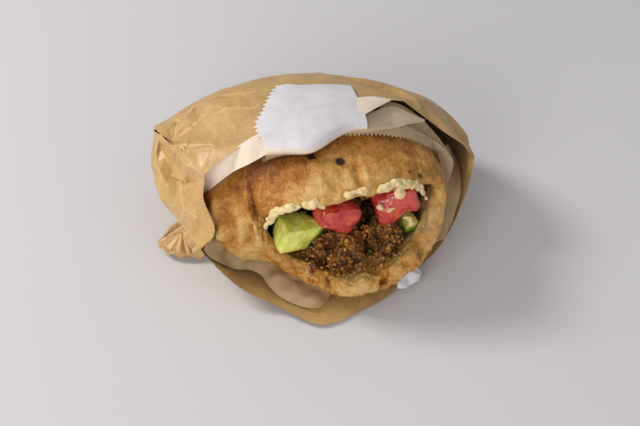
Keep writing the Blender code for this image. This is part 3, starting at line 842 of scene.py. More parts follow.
# Sharp creases of the bag's closed end: the paper lies flat between these lines, corner points in mm
CREASES = (
    ((-71.1, 22.6, 54.6), (-69.5, 16.5, 54.8), (-67.4, 9.3, 55.8), (-65.2, 1.5, 56.7), (-61.7, -9.1, 58.7), (-57.3, -21.3, 59.8)),
    ((-65.2, 22.3, 54), (-64.9, 15.1, 53.9), (-60, 29.2, 54.6)),
    ((-64.9, 15.1, 53.9), (-61.6, 16.4, 59.5), (-57, 23.5, 61)),
    ((-64.9, 15.1, 53.9), (-55.2, 14.6, 62.4), (-49.5, 15.7, 66)),
    ((-57, 23.5, 61), (-51.7, 31, 59.1), (-50.3, 19, 62.5)),
    ((-47.3, 28.5, 64.4), (-39.6, 25.4, 68.1), (-30.5, 21.7, 71), (-22.6, 17.8, 73.9)),
    ((-50.3, 19, 62.5), (-49.5, 15.7, 66), (-41.8, 10.4, 70.5), (-32.8, 6.8, 73.4), (-25.7, 6, 74)),
    ((-65.2, 5.8, 57.6), (-59.5, -0.2, 62.3), (-49.4, -6.6, 66.2)),
    ((-62.9, 3.7, 57.3), (-57.3, -2.4, 60.4), (-48.8, -7.9, 64.9)),
    ((-70.7, 21.4, 46.1), (-69.7, 15, 44.6), (-68.3, 9.4, 43.2), (-66.8, 4.6, 41), (-62.3, -4.1, 44.2), (-59, -16.3, 51.6)),
    ((-75.3, 14, 41.9), (-73.6, 6.5, 44.1), (-72.7, -1, 39.5), (-71.1, -8.7, 34.3), (-68.4, -16.5, 29.7), (-64.6, -24, 26)),
    ((-66.8, 4.6, 41), (-66.6, -3.7, 39.8), (-68.9, -8.7, 35.1), (-71.1, -8.7, 34.3)),
    ((-64.9, -1, 43.4), (-65.9, -11.6, 43.4), (-66.5, -15.8, 38.3), (-68.4, -16.5, 29.7)),
    ((-62.3, -4.1, 44.2), (-65.9, -11.6, 43.4)),
    ((-66.5, -15.8, 38.3), (-62.2, -21.4, 37.1)),
    ((-63.2, -15.1, 41.4), (-62.2, -21.4, 37.1)),
    ((-69.7, 15, 44.6), (-73.6, 6.5, 44.1)),
)
# Pleats of the twisted corner, spreading from where it leaves the bag
FAN_CREASES = (
    ((-65.9, -3.3, 11.4), (-70.8, -1.9, 10), (-74.6, -2.7, 8.1), (-77, -2.3, 6.5), (-77.4, -4, 4.7)),
    ((-65.9, -3.3, 11.4), (-77.4, -4, 4.7)),
    ((-65.9, -3.3, 11.4), (-75.2, -5.8, 4.5)),
    ((-65.9, -3.3, 11.4), (-73.3, -8.4, 5.1)),
    ((-65.9, -3.3, 11.4), (-70.8, -9.1, 4.6)),
    ((-65.9, -3.3, 11.4), (-68.9, -11.2, 5.5)),
    ((-65.9, -3.3, 11.4), (-66.2, -10.3, 3.3)),
    ((-65.9, -3.3, 11.4), (-64.4, -13.3, 4.9)),
    ((-65.9, -3.3, 11.4), (-61.8, -13, 3.5)),
    ((-74.6, -2.7, 8.1), (-75.2, -5.8, 4.5)),
)
# The lining between the bag's rim and the bread at the left of the mouth
BAND_AT_RIM = ((-57.4, -20.6, 60.0), (-50, -17.6, 64.0), (-43.7, -15.8, 67.2), (-37, -14, 70.2), (-30.5, -12.4, 72.4), (-24, -11.5, 73.8))
BAND_AT_BREAD = ((-56.2, -12.6, 40.6), (-51.6, -17.0, 49.2), (-43.8, -21.2, 59.4), (-36.4, -23.4, 64.8), (-29.6, -23.2, 68.2), (-24, -22.6, 70.2))
# The lining between the bread's underside and its own lower edge, inside the bag's lip
LIP_AT_BREAD = ((-55.5, -22.3, 27), (-51.6, -24.2, 24), (-46.2, -25.8, 21), (-38.6, -26.5, 18), (-32.8, -30.8, 15.5), (-28, -35.5, 13.5), (-22.2, -41.8, 11.5), (-15.4, -48.1, 9.3), (-8.9, -51.1, 8), (-3.4, -54.7, 7.5))
LIP_EDGE = ((-60.4, -30.9, 23), (-57.9, -33.4, 19.5), (-52.5, -34.6, 15.5), (-46.2, -35.9, 12), (-39, -36.4, 10), (-34.2, -40.2, 8), (-31.7, -45.4, 6), (-28, -51.6, 4.2), (-20.4, -58.5, 3.2), (-12.9, -61.5, 3), (-7.8, -58.8, 3.2), (-2.7, -54.3, 3.6))
# The crumpled white corner that peeps out under the bread at the right
PEEP_IN = ((26.7, -52.4, 9), (32.2, -52.3, 9), (38.6, -51.4, 8))
PEEP_OUT = ((27.5, -57.5, 3), (34.1, -57.3, 2.6), (41.3, -51.5, 2.8))
# The lining's turned-over corner and its two lower layers at the right of the mouth
CORNER_FOLD = ((18.0, -16.8, 77.0), (27.2, -10.5, 75.8), (36.8, -4.0, 73.9))
CORNER_RIM = ((20.5, -2.0, 77.0), (29.0, -1.6, 75.9), (36.9, -3.2, 74.1))
UPPER_LAYER_TOP = ((14.2, -17.4, 75.0), (27.7, -8.8, 73.0), (38, -5.0, 71.0), (46, -8.5, 67.4), (52.0, -11.2, 64.6))
UPPER_LAYER_LOW = ((8.7, -21.8, 73.5), (20.0, -21.2, 71.5), (30, -19.6, 69.8), (38.2, -16.9, 68.0), (51.6, -11.6, 64.6))
LOWER_LAYER_TOP = ((10.1, -16.9, 71.6), (20.9, -17.8, 71.0), (38.5, -14.8, 67.8), (48.2, -14.7, 60.9), (56.5, -14.2, 54.0))
LOWER_LAYER_SAW = ((10.0, -19.8, 70.9), (17.0, -19.8, 70.2), (27.2, -20.0, 68.4), (35.2, -20.2, 65.8), (43.4, -19.9, 62.0), (51.4, -20.4, 56.0))
BACK_LAYER_LOW = ((30, -12, 69.5), (38, -13.6, 67.2), (44, -14.4, 62.8), (50, -15.2, 58), (55, -16.4, 53), (58.5, -19, 48))
BACK_LAYER_TOP = ((33, 0.6, 71.4), (42.0, -1.4, 68.8), (50.0, -5.2, 63.6), (56.0, -9.2, 57.6), (61.0, -13.4, 51.2), (63.6, -17.4, 47.4))
RIGHT_LAYER_IN = ((57, -17, 50), (57, -24, 46), (56, -30, 42), (54, -35.5, 37), (51, -41, 32), (47, -46, 27), (43, -50, 22))
RIGHT_LAYER_OUT = ((63.5, -14, 50), (70.0, -8.5, 36.5), (70.2, -14.5, 34.6), (68.2, -24, 33.8), (65.2, -31.6, 31), (60.5, -38.5, 26), (54, -46, 19))
SIDE_STRIP_OUT = ((56.5, -14.2, 54.0), (61.4, -17.9, 50.0), (64.2, -21.3, 46.0), (62.9, -24.5, 42.0), (57.6, -31.2, 36.0), (52.4, -44.4, 30.0))
SIDE_STRIP_IN = ((50.4, -17.1, 54.0), (56.0, -16.0, 48.0), (58.0, -19.0, 44.0), (57.0, -24.3, 39.0), (54.1, -31.1, 33.0), (50.3, -41.0, 27.0))


def make_kraft_bag():
    low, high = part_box("paper_bag")
    bag = outer_skin("paper_bag", "kraft_bag", (0, 0, high.z))
    choose(bag, lambda e: len(e.link_faces) == 2 and e.calc_face_angle(0) > math.radians(24), "EDGE")
    bpy.ops.transform.edge_crease(value=0.8)
    edit_done()
    modify(bag, "finer", "SUBSURF", levels=3, render_levels=3, boundary_smooth="PRESERVE_CORNERS")
    press_folds(bag, KRAFT_FOLDS)
    for reach in (2.4, 0.8):
        refine_near(bag, CREASES + FAN_CREASES, FRONT, reach, lambda p: p.x < -16 and p.y < 40)
    crease_wear_and_highlight = lay_flat_between(bag, CREASES, FRONT, 1.6)
    crease_wear_and_highlight = np.maximum(crease_wear_and_highlight, 0.6 * lay_flat_between(bag, FAN_CREASES, FRONT, 0.7))
    # Nearness to the creases, which the kraft finish paints lighter: partly crease wear, partly a painted highlight on
    # the ridges.
    paint(bag, "crease_wear_and_highlight", crease_wear_and_highlight)
    draw_out(bag, (-59.1, -25.4, 35.7), 15, (3.4, -4.6, -1.0))
    crumple(bag, 4, 110, 24, 0.5, keep=lambda p: np.clip((p[:, 2] - 3 * MM) / (8 * MM), 0, 1))
    mouth = lambda p: p.y < -5 * MM and p.z < 50 * MM
    saw_edge(bag, mouth, 1.5, 0.8, 3, 0.5)
    use(bag, KRAFT)
    smooth(bag, 60)
    return place(bag, "kraft_paper", "paper_bag")


def finish_lining(piece, doubled):
    """One thin layer of lining paper; doubled is 1 where it lies on itself and hides what is below."""
    paint(piece, "doubled", np.broadcast_to(doubled, len(piece.data.vertices)).copy())
    modify(piece, "paper", "SOLIDIFY", thickness=0.12 * MM, offset=0.0)
    use(piece, LINING)
    smooth(piece, 60)
    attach(piece, "root")
    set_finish(piece, "thin_white_paper")
    return piece


def make_lining():
    low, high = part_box("liner_paper")
    lining = outer_skin("liner_paper", "lining_sheet", ((low.x + high.x) / 2, low.y + 0.7 * (high.y - low.y), high.z))
    modify(lining, "finer", "SUBSURF", levels=3, render_levels=3, boundary_smooth="PRESERVE_CORNERS")

    def bare(face):
        """Where the strips below take over, in front of the bag's rim."""
        x, y, z = face.calc_center_median() / MM
        left = x < -29.5 and z > 42 and y < -12.5 + (x + 30) * 0.33
        right = x > 20 and z > 40 and y < -3 and not (z > 72 and x < 23)
        low = z < 34 and x < 20 and y < -8
        return left or right or low

    choose(lining, bare)
    bpy.ops.mesh.delete(type="FACE")
    edit_done()
    flap_side = lambda p: p.z > 68 * MM and p.x < -12 * MM and p.y > -16 * MM
    saw_edge(lining, flap_side, 2.9, 1.9, 5, 0.1)
    x, y, z = (points_of(lining) / MM).T
    finish_lining(lining, np.clip((z - 70) / 5, 0, 1))
    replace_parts(lining, "liner_paper")

    band = strip_of_paper("lining_band", BAND_AT_BREAD, BAND_AT_RIM, 0.6, 60, 24)
    crumple(band, 11, 14, 12, 0.3)
    finish_lining(band, 0.42)
    lip = strip_of_paper("lining_lip", LIP_AT_BREAD, LIP_EDGE, 0.8, 110, 28)
    crumple(lip, 21, 44, 11, 0.95)
    finish_lining(lip, 0.05)
    peep = strip_of_paper("lining_lower_corner", PEEP_IN, PEEP_OUT, 1.6, 40, 24)
    crumple(peep, 5, 16, 6, 1.1)
    finish_lining(peep, 1.0)
    corner = strip_of_paper("lining_turned_corner", CORNER_FOLD, CORNER_RIM, 0.4)
    finish_lining(corner, 0.45)
    inner = strip_of_paper("lining_right_layer", RIGHT_LAYER_IN, RIGHT_LAYER_OUT, -0.8, 60, 16)
    crumple(inner, 15, 12, 10, 0.4)
    finish_lining(inner, 0.03)
    back = strip_of_paper("lining_back_layer", BACK_LAYER_LOW, BACK_LAYER_TOP, -0.6, 60, 16)
    finish_lining(back, 0.06)
    upper = strip_of_paper("lining_upper_layer", UPPER_LAYER_LOW, UPPER_LAYER_TOP, 0.5, 60, 24)
    crumple(upper, 12, 10, 12, 0.3)
    finish_lining(upper, 0.14)
    lower = strip_of_paper("lining_lower_layer", LOWER_LAYER_SAW, LOWER_LAYER_TOP, 0.3, 60, 20)
    saw_line = smooth_line(LOWER_LAYER_SAW, 200)
    saw_edge(lower, lambda p: np.min(np.linalg.norm(saw_line - np.array(p), axis=1)) < 0.3 * MM, 2.1, 1.3, 8, 0.15)
    finish_lining(lower, 0.1)
    side = strip_of_paper("lining_side_strip", SIDE_STRIP_IN, SIDE_STRIP_OUT, 0.0, 60, 16)
    crumple(side, 14, 10, 12, 0.3)
    finish_lining(side, 0.1)


bag = make_kraft_bag()
make_lining()

# Bread

# Which way the visible crust faces
OUTWARD = (-0.35, -0.75, 0.55)
# The deep pleat at the left of the pocket, from its foot up
PLEAT = ((-35.6, -39.9, 35), (-36, -39.8, 39), (-37.6, -38.6, 43), (-38.2, -36.5, 47.5), (-38.2, -31.7, 52.3), (-37.6, -25.5, 58.5))
# (corner points in mm, height, half width, sharpness) of the creases baked into the bread
BREAD_FOLDS = (
    (((-51.8, -24.2, 47.3), (-54.6, -24.0, 39.1), (-55.5, -25.5, 33)), 2.4, 3.6, 0.9),
    (((-48.5, -27.5, 47), (-51, -28.5, 38), (-51.5, -29, 31)), -2.0, 3.6, 0.9),
    (((-52.0, -29.2, 35.5), (-52.4, -29.3, 26.0)), 2.2, 3.4, 0.9),
    (((-43.8, -34.6, 41.3), (-43.2, -35.8, 33.6), (-43.0, -36.0, 26.0)), 1.5, 3.6, 1.0),
    (((-46.5, -32.5, 43), (-47.6, -32.6, 34), (-48, -33, 26)), -1.5, 3.6, 1.0),
    (((-35.0, -40.2, 43.5), (-35.6, -40.8, 34), (-37.4, -39.0, 23)), 1.5, 3.2, 0.9),
    (((-38.6, -38.4, 42), (-39.4, -38.1, 34), (-41.4, -36.5, 24)), -2.0, 2.4, 0.8),
    (((-32.4, -41.6, 38), (-31.8, -42.2, 31)), -1.4, 2.2, 0.9),
    (((-34, -35.5, 21), (-26, -43, 17)), -1.4, 2.6, 0.9),
    (((9.5, -37, 66.2), (10.6, -40.0, 65.8), (11.6, -46.2, 63.7), (10.4, -51.0, 62.0)), -1.5, 2.4, 0.9),
    (((14.2, -39, 66), (15.2, -46, 63.5)), 1.1, 4.0, 1.0),
    (((6.5, -40, 66), (7.0, -48, 63.5)), 0.6, 3.6, 1.0),
    (((18.9, -60.5, 20.5), (18.9, -62.8, 18.7), (18.1, -66.2, 14.8), (18, -65.5, 8)), -4.6, 2.1, 0.7),
    (((-5.1, -54.2, 17), (-6.8, -58.6, 14.5), (-7.5, -59, 9)), -2.8, 1.9, 0.8),
    (((3.2, -57.6, 17), (2.4, -62.6, 15.4), (2.2, -63.5, 11)), -0.9, 1.5, 0.8),
    (((-18, -48, 17.5), (-20, -50, 12)), -1.1, 2.4, 0.9),
    (((28, -58, 23), (29.5, -62.5, 19)), -0.6, 2.2, 1.0),
    (((-8, -61.5, 10.2), (4, -65.2, 10.4), (16, -66.8, 10.2)), -0.8, 1.3, 1.0),
    (((36, -50, 23.8), (41.5, -44.5, 27.2), (46, -36, 32)), 1.6, 2.6, 1.0),
    (((30, -54.5, 21.8), (37, -50.8, 24)), 1.0, 2.6, 1.0),
)
# (x, y, z, reach, height) in mm of the puffed and dented places along the lower lip and at the mouth's corners
BREAD_LUMPS = (
    (-9.7, -55.0, 16.0, 4.6, 1.5), (-12.5, -57.5, 12.5, 3.2, 1.0), (-24, -45.5, 19, 6, 1.2), (-15, -51, 17.5, 3.4, -0.8),
    (0, -59.5, 16.5, 5.5, 0.9), (10, -62.5, 17, 7, 1.5), (24, -62.5, 19.5, 6, 1.3), (31, -61, 21.5, 3.6, -0.6),
    (36, -56, 24, 5, 1.0), (42, -49, 27.5, 5, 0.9), (47.5, -41, 33, 5, 1.0), (-30, -42, 24, 5, 1.0),
    (-20, -36, 62.5, 8, 0.7), (-8, -46, 63, 7, 0.8), (22, -45, 63.5, 7, 0.8), (36, -43, 60, 6, 0.6),
)
# (x, y, z, reach in mm, how dark) of the scorched places
SCORCHED = (
    (-8.1, -28.4, 68.3, 2.6, 0.9), (4.0, -34.4, 67.9, 2.9, 1.0), (2.8, -35.2, 67.8, 1.9, 0.9),
    (35.8, -41.3, 60.7, 2.0, 0.55), (40.5, -42.2, 58.7, 2.2, 0.6), (46.5, -33, 56, 2.6, 0.5),
    (-10.5, -56.5, 19, 3.0, 0.35), (36.5, -59.5, 24.5, 2.6, 0.5), (22, -18, 69, 2.0, 0.5), (30, -17, 67, 2.2, 0.6),
)


def lumps_at(points, size, seed):
    shift = Vector((seed * 3.1, seed * 1.3, seed * 0.7))
    return np.array([noise.fractal(Vector(p) / (size * MM) + shift, 1.0, 2.0, 4) for p in points])


def make_bread():
    low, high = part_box("pita")
    bread = copy_of(NODES["pita"], "pita_bread")
    pick(bread)
    bpy.ops.object.mode_set(mode="EDIT")
    bpy.ops.mesh.select_all(action="SELECT")
    bpy.ops.mesh.tris_convert_to_quads(face_threshold=math.radians(60), shape_threshold=math.radians(60))
    edit_done()
    modify(bread, "finer", "SUBSURF", levels=3, render_levels=3)
    draw_out(bread, (-50, -24, 29), 21, (-4.2, -3.6, -3.6))
    draw_out(bread, (-40, -31, 19), 13, (-1.5, -2.6, -3.0))
    raise_lumps(bread, BREAD_LUMPS)
    draw_out(bread, (-53, -18, 43), 14, (-2.6, 0.4, 0.8))
    sharp = [fold[0] for fold in BREAD_FOLDS if fold[2] < 2.3] + [PLEAT]
    refine_near(bread, sharp, FRONT, 2.0, lambda p: p.y < -22)
    bent = press_folds(bread, BREAD_FOLDS, facing=OUTWARD)
    shade = press_pleat(bread, PLEAT, 3.0, 7.0, 1.2, 4.5, OUTWARD)
    swell(bread, 14, 0.8, 2)
    swell(bread, 5, 0.62, 5)
    low_lip = lambda p: 0.5 + np.clip((30 * MM - p[:, 2]) / (10 * MM), 0, 1)
    swell(bread, 2.6, 0.42, 8, low_lip)
    points = points_of(bread)
    normals = normals_of(bread)
    x, y, z = (points / MM).T

    def patch(cx, cy, rx, ry):
        return np.exp(-(((x - cx) / rx) ** 2 + ((y - cy) / ry) ** 2))

    upper = np.clip((z - 42) / 8, 0, 1)
    toast_and_shading = 0.50 + 0.58 * patch(-23, -22, 16, 10) - 0.22 * patch(46, -30, 10, 13) + 0.12 * patch(20, -22, 30, 6)
    toast_and_shading -= 0.3 * patch(-16, -47, 9, 8) + 0.22 * patch(0, -50, 12, 11) + 0.30 * patch(20, -49, 15, 9)
    toast_and_shading -= 0.22 * patch(4, -40, 14, 7) + 0.34 * patch(38, -50, 10, 7)
    side = 0.20 + 0.12 * np.clip((-44 - x) / 8, 0, 1) + 0.16 * np.clip((z - 32) / 14, 0, 1)
    left = np.clip((-33 - x) / 6, 0, 1)
    lower = 0.20 + 0.24 * patch(-22, -46, 12, 10) + 0.22 * patch(-10, -56, 5, 5) + 0.2 * patch(33, -60, 9, 6)
    lower -= 0.24 * patch(44, -42, 8, 12) + 0.10 * patch(4, -58, 7, 8)
    inside = np.clip((np.where(z < 24, -48 - y, -60 - y) + 0 * x) / -5, 0, 1) * np.clip(normals[:, 2] * 2, 0, 1)
    toast_and_shading = toast_and_shading * upper + (side * left + lower * (1 - left)) * (1 - upper)
    toast_and_shading += 0.22 * lumps_at(points, 11, 3) + 0.14 * lumps_at(points, 4, 9)
    toast_and_shading -= 0.12 * inside * (z < 26)
    # Painted light added to the browning: fold ridges lighter as a painted highlight, and fold valleys and the pleat's
    # dropped side darker as painted shade.
    toast_and_shading += -0.16 * np.clip(bent, 0, 2) - 0.12 * np.clip(bent, -2, 0) + 0.42 * shade
    burn = np.zeros(len(points))
    wobble = 1 + 0.4 * lumps_at(points, 2.2, 6)
    for sx, sy, sz, reach, dark in SCORCHED:
        far = np.linalg.norm(points / MM - np.array((sx, sy, sz)), axis=1) / (reach * wobble)
        burn = np.maximum(burn, dark * np.clip(1.6 - far * 1.2, 0, 1))
    # This attribute holds the browning together with the painted highlight and painted shade of the folds and the
    # pleat.
    paint(bread, "toast_and_shading", toast_and_shading)
    paint(bread, "burn", burn)
    use(bread, CRUST)
    smooth(bread)
    return place(bread, "bread_crust", "pita")


bread = make_bread()

# Filling

def make_falafel(node, seed):
    ball = copy_of(NODES[node], node + "_ball")
    modify(ball, "finer", "SUBSURF", levels=4, render_levels=4)
    swell(ball, 6, 3.0, seed + 3)
    swell(ball, 2.6, 1.6, seed + 8)
    swell(ball, 1.1, 0.7, seed + 14)
    use(ball, FALAFEL)
    smooth(ball)
    return place(ball, "falafel", node)


def make_chunk(node, material, slot, name, seed, rounding, wave, pulls=()):
    chunk = copy_of(NODES[node], name)
    modify(chunk, "rounder", "BEVEL", width=rounding * MM, segments=3, angle_limit=math.radians(25))
    modify(chunk, "finer", "SUBSURF", levels=4, render_levels=4, subdivision_type="SIMPLE")
    modify(chunk, "softer", "SMOOTH", factor=0.5, iterations=4)
    for centre, reach, way in pulls:
        draw_out(chunk, centre, reach, way)
    swell(chunk, 7, wave, seed, layers=1)
    swell(chunk, 2.6, wave * 0.16, seed + 4, layers=1)
    use(chunk, material)
    smooth(chunk)
    return place(chunk, slot, node)


def add_skin(chunk, outward, share):
    """Marks the side of a cut piece that was the vegetable's outside."""
    points = points_of(chunk)
    way = np.array(outward, float) / np.linalg.norm(outward)
    reach = points @ way
    low, high = reach.min(), reach.max()
    wave = np.array([noise.noise(Vector(p) * 320) for p in points])
    paint(chunk, "skin", (reach - (low + (high - low) * share)) / ((high - low) * (1 - share)) + 0.15 * wave)


# Hummus squeezed out along the bread's lip and over the tomato: (x, y, z, thickness) in mm along each smear
SMEARS = (
    ((-16.2, -50, 56.9, 1), (-13.6, -50.6, 59.3, 1.9), (-10.5, -51, 59.5, 1.8), (-8.1, -51, 56.6, 1)),
    ((-18.4, -49.3, 57.5, 1.36), (-22.2, -48, 56, 1.77), (-26, -46.3, 55.3, 2.24), (-28.9, -44.5, 51.3, 1.97), (-31.3, -42.7, 45.9, 1.7), (-32.9, -41.1, 39.8, 1.56)),
    ((1.2, -52.6, 62.7, 1.14), (4.9, -52.7, 63.5, 1.5), (8.6, -52.7, 63.9, 1.63), (11.6, -52.4, 62.9, 1.14)),
    ((16.5, -51.9, 61, 1.09), (21.2, -51.5, 62.7, 1.63), (26.2, -50.7, 63.5, 2.04), (31.4, -49.3, 61.8, 1.9), (37.1, -46.9, 57.4, 1.5), (41.5, -43.6, 50.1, 1.36), (44.7, -41.1, 42.3, 1.09)),
    ((27.9, -51.5, 62.6, 1.5), (28.4, -51.7, 59, 1.43), (29.4, -50.8, 54.8, 1.23)),
    ((32.6, -45, 35.4, 1.23), (35.4, -45.5, 35.5, 1.29), (36.6, -45.6, 31.2, 1.14)),
    ((19.6, -45.2, 46.6, 0.85), (21.4, -45.4, 45.6, 1.23), (22.6, -45.4, 45.2, 0.76)),
    ((24, -47, 43.8, 0.95), (26, -47.2, 44.6, 1.42), (28.2, -47, 45.6, 0.85)),
)


def smear_along(corners, seed):
    """A lumpy worm of soft paste through corner points, thin at both ends."""
    deselect()
    bpy.ops.mesh.primitive_cylinder_add(vertices=20, radius=1, depth=1, end_fill_type="NOTHING")
    worm = bpy.context.object
    pick(worm)
    bpy.ops.object.mode_set(mode="EDIT")
    bpy.ops.mesh.select_all(action="SELECT")
    rings = 12 * (len(corners) - 1)
    bpy.ops.mesh.subdivide(number_cuts=1)
    bpy.ops.mesh.delete(type="VERT")
    edit_done()
    line = smooth_line([c[:3] for c in corners], rings + 1)
    thick = np.interp(np.linspace(0, 1, rings + 1), np.linspace(0, 1, len(corners)), [c[3] for c in corners]) * MM
    thick *= np.clip(np.sin(np.linspace(0.02, math.pi - 0.02, rings + 1)) * 2.6, 0, 1) ** 0.6
    way = np.gradient(line, axis=0)
    way /= np.linalg.norm(way, axis=1)[:, None]
    side = np.cross(way, (0, -0.7, 0.7))
    side /= np.linalg.norm(side, axis=1)[:, None]
    lift = np.cross(side, way)
    turns = np.linspace(0, 2 * math.pi, 20, endpoint=False)
    points, faces = [], []
    for k in range(rings + 1):
        for t in turns:
            points.append(line[k] + thick[k] * (math.cos(t) * side[k] + 0.8 * math.sin(t) * lift[k]))
    for k in range(rings):
        for m in range(20):
            n = (m + 1) % 20
            faces.append((k * 20 + m, k * 20 + n, (k + 1) * 20 + n, (k + 1) * 20 + m))
    faces += [tuple(range(20))[::-1], tuple(rings * 20 + m for m in range(20))]
    worm.data.from_pydata([tuple(p) for p in points], [], faces)
    pick(worm)
    bpy.ops.object.mode_set(mode="EDIT")
    bpy.ops.mesh.select_all(action="SELECT")
    bpy.ops.mesh.normals_make_consistent(inside=False)
    edit_done()
    modify(worm, "finer", "SUBSURF", levels=2, render_levels=2)
    swell(worm, 4.2, 1.9, seed, layers=1)
    swell(worm, 2.1, 0.7, seed + 3, layers=1)
    return worm


def make_smears():
    worms = [smear_along(corners, number + 2) for number, corners in enumerate(SMEARS)]
    pick(worms[0])
    for worm in worms:
        worm.select_set(True)
    bpy.ops.object.join()
    smears = bpy.context.object
    smears.name = "hummus_smears"
    use(smears, HUMMUS)
    smooth(smears)
    return place(smears, "hummus", "hummus_left", "hummus_middle", "hummus_right")


def make_bed():
    bed = copy_of(NODES["filling"], "salad_bed")
    modify(bed, "finer", "SUBSURF", levels=3, render_levels=3)
    swell(bed, 5, 2.4, 7)
    swell(bed, 1.8, 1.0, 9)
    use(bed, BED)
    smooth(bed)
    return place(bed, "salad_bed", "filling")


falafels = [make_falafel(node, number) for number, node in enumerate(("falafel_front", "falafel_right", "falafel_back"))]
make_chunk("tomato_left", TOMATO, "tomato", "tomato_left_chunk", 3, 1.2, 0.8,
           (((4.5, -47, 38.5), 9, (0.3, -1.2, -3.4)), ((9, -46, 45), 8, (2.8, -0.7, 0.2))))
make_chunk("tomato_right", TOMATO, "tomato", "tomato_right_chunk", 6, 1.0, 1.0,
           (((23, -46, 40), 10, (-0.3, -1.8, -5.0)), ((37, -45, 50.7), 8, (0.8, 0.2, 1.8)), ((38, -45, 43), 8, (1.8, 0, -1.2))))
cut = make_chunk("cucumber_front", CUCUMBER, "cucumber", "cucumber_front_chunk", 4, 0.6, 0.4,
                 (((-9.8, -44, 38), 10, (4.6, -0.4, 1.2)), ((-26, -43, 31), 9, (-1.6, -0.6, -0.6))))
add_skin(cut, (0.85, -0.1, -0.5), 0.74)
add_skin(make_chunk("cucumber_side", CUCUMBER, "cucumber", "cucumber_side_chunk", 8, 0.6, 0.5), (0.3, -0.5, -0.8), 0.3)
make_smears()
bed = make_bed()


# Loose bits

def model_bit(name, flat=1.0):
    """One rough grain, a few dozen faces, a metre across before it is laid."""
    deselect()
    bpy.ops.mesh.primitive_ico_sphere_add(subdivisions=1, radius=0.5)
    bit = bpy.context.object
    bit.name = name
    points = points_of(bit)
    dents = np.array([noise.noise(Vector(p) * 3.1 + Vector((4, 1, 7))) for p in points])
    points = points * (1 + 0.55 * dents[:, None])
    points[:, 2] *= flat
    set_points(bit, points)
    return bit


def scatter(name, bit, hosts, count, sizes, region, seed, sink, material, slot):
    """Lays many turned copies of a bit on the hosts' faces where region(point, normal) holds."""
    chance = np.random.default_rng(seed)
    shape = points_of(bit)
    faces = [tuple(p.vertices) for p in bit.data.polygons]
    spots = []
    for host in hosts:
        host.data.calc_loop_triangles()
        corners = points_of(host)
        triangles = np.array([t.vertices[:] for t in host.data.loop_triangles])
        a, b, c = corners[triangles[:, 0]], corners[triangles[:, 1]], corners[triangles[:, 2]]
        turn = np.cross(b - a, c - a)
        area = np.linalg.norm(turn, axis=1)
        normal = turn / np.maximum(area, 1e-12)[:, None]
        middle = (a + b + c) / 3
        allowed = np.array([region(m / MM, n) for m, n in zip(middle, normal)]) & (area > 0)
        spots.append((a[allowed], b[allowed], c[allowed], normal[allowed], area[allowed]))
    a, b, c, normal, area = (np.concatenate(part) for part in zip(*spots))
    picks = chance.choice(len(area), size=count, p=area / area.sum())
    everything, polygons = [], []
    for pick_number in picks:
        u, v = chance.random(2)
        if u + v > 1:
            u, v = 1 - u, 1 - v
        spot = a[pick_number] + u * (b[pick_number] - a[pick_number]) + v * (c[pick_number] - a[pick_number])
        size = sizes[0] + (sizes[1] - sizes[0]) * chance.random() ** 2
        turn = np.array(Euler(chance.uniform(0, 6.28, 3)).to_matrix())
        stretch = 1 + chance.uniform(-0.35, 0.35, 3)
        grain = (shape * stretch) @ turn.T * size * MM + spot + normal[pick_number] * size * MM * (0.5 - sink)
        first = len(everything) * len(shape)
        everything.append(grain)
        polygons += [tuple(i + first for i in face) for face in faces]
    mesh = bpy.data.meshes.new(name)
    mesh.from_pydata([tuple(p) for p in np.concatenate(everything)], [], polygons)
    piece = bpy.data.objects.new(name, mesh)
    bpy.context.scene.collection.objects.link(piece)
    use(piece, material)
    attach(piece, "root")
    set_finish(piece, slot)
    return piece


grain = model_bit("crumb_bit")
flake = model_bit("leaf_bit", 0.25)
seen = lambda p, n: n @ np.array((-0.1, -0.72, 0.68)) > -0.05 and p[1] < -14
scatter("falafel_lumps", grain, falafels, 190, (1.8, 4.0), seen, 30, 0.45, FALAFEL, "falafel")
scatter("falafel_crumbs", grain, falafels, 1500, (0.4, 2.0), seen, 31, 0.45, CRUMBS, "falafel")
low_front = lambda p, n: seen(p, n) and p[1] < -24 and p[2] < 34 and -26 < p[0] < 40
scatter("loose_crumbs", grain, [bed, bread], 760, (0.6, 2.8),
        lambda p, n: low_front(p, n) and -56 < p[1] and -16 < p[0] < 34 and p[2] < 20 and n[2] > 0.3, 32, 0.2, CRUMBS, "falafel")
scatter("herb_bits", flake, falafels + [bed], 150, (0.9, 3.0), seen, 33, 0.1, HERBS, "cucumber")
bag_spots = ((-62.6, 1.0, 58.7), (-60.8, -31.2, 22.7), (-56.5, -38.0, 19.0))
on_bag = lambda p, n: n[2] > -0.2 and min((Vector(p) - Vector(spot)).length for spot in bag_spots) < 2.2
scatter("bag_crumbs", grain, [bag], 9, (0.9, 2.0), on_bag, 34, 0.2, BREAD_CRUMBS, "bread_crust")
torn_edge = lambda p, n: -20 < p[0] < 44 and 14 < p[2] < 30 and -60 < p[1] < -44 and n[2] > 0.25 and n[1] > -0.1
scatter("lip_crumbs", grain, [bread], 26, (0.5, 1.5), torn_edge, 35, 0.35, BREAD_CRUMBS, "bread_crust")
for bit in (grain, flake):
    bpy.data.objects.remove(bit)

# Floor, light and camera

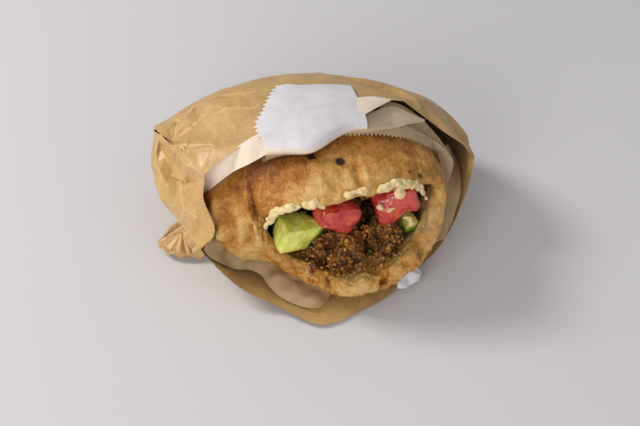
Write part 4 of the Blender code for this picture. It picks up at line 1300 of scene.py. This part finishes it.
def make_floor():
    deselect()
    bpy.ops.mesh.primitive_plane_add(size=6.0, location=(0, 0, -0.2 * MM))
    floor = bpy.context.object
    floor.name = "floor"
    material, w, shader, here = finish("pale_floor", Roughness=0.45)
    tone = w.noise(here, 3.0, 2)
    w.feed(shader, "Base Color", w.blend(tone, (0.60, 0.585, 0.60, 1), (0.64, 0.625, 0.64, 1)))
    use(floor, material)


def make_light(name, place_at, target, size, energy, colour):
    data = bpy.data.lights.new(name, "AREA")
    data.shape = "DISK"
    data.size = size
    data.energy = energy
    data.color = colour
    lamp = bpy.data.objects.new(name, data)
    bpy.context.scene.collection.objects.link(lamp)
    lamp.location = place_at
    lamp.rotation_euler = (Vector(target) - Vector(place_at)).to_track_quat("-Z", "Y").to_euler()


def make_camera():
    azimuth, height_angle, roll = math.radians(-15.0), math.radians(42.0), math.radians(1.0)
    aim = Vector((-2.75, -26.05, 30.0)) * MM
    back = Vector((math.sin(azimuth) * math.cos(height_angle), -math.cos(azimuth) * math.cos(height_angle),
                   math.sin(height_angle)))
    right = Vector((math.cos(azimuth), math.sin(azimuth), 0))
    up = back.cross(right)
    right, up = right * math.cos(roll) + up * math.sin(roll), up * math.cos(roll) - right * math.sin(roll)
    data = bpy.data.cameras.new("camera")
    data.sensor_width = 36.0
    data.lens = 36.0 * 1574.0 / 640.0
    data.clip_start = 0.01
    camera = bpy.data.objects.new("camera", data)
    bpy.context.scene.collection.objects.link(camera)
    turn = Matrix((right, up, back)).transposed().to_4x4()
    camera.matrix_world = Matrix.Translation(aim + back * 0.75) @ turn
    bpy.context.scene.camera = camera


make_floor()
make_light("window", (-0.8, 0.5, 0.85), (0, 0, 0.03), 0.36, 10.2, (1.0, 0.985, 0.955))
make_light("bounce", (-0.75, -0.95, 0.5), (0, 0, 0.03), 0.8, 8.6, (1.0, 0.98, 0.95))
make_light("room", (0.45, -1.0, 0.65), (0, 0, 0.03), 1.5, 2.4, (1.0, 0.98, 0.97))
world = bpy.data.worlds.new("room_light")
world.use_nodes = True
world.node_tree.nodes["Background"].inputs["Color"].default_value = (0.86, 0.85, 0.88, 1)
world.node_tree.nodes["Background"].inputs["Strength"].default_value = 0.42
bpy.context.scene.world = world
make_camera()
bpy.context.scene.view_settings.view_transform = "Standard"

deselect()
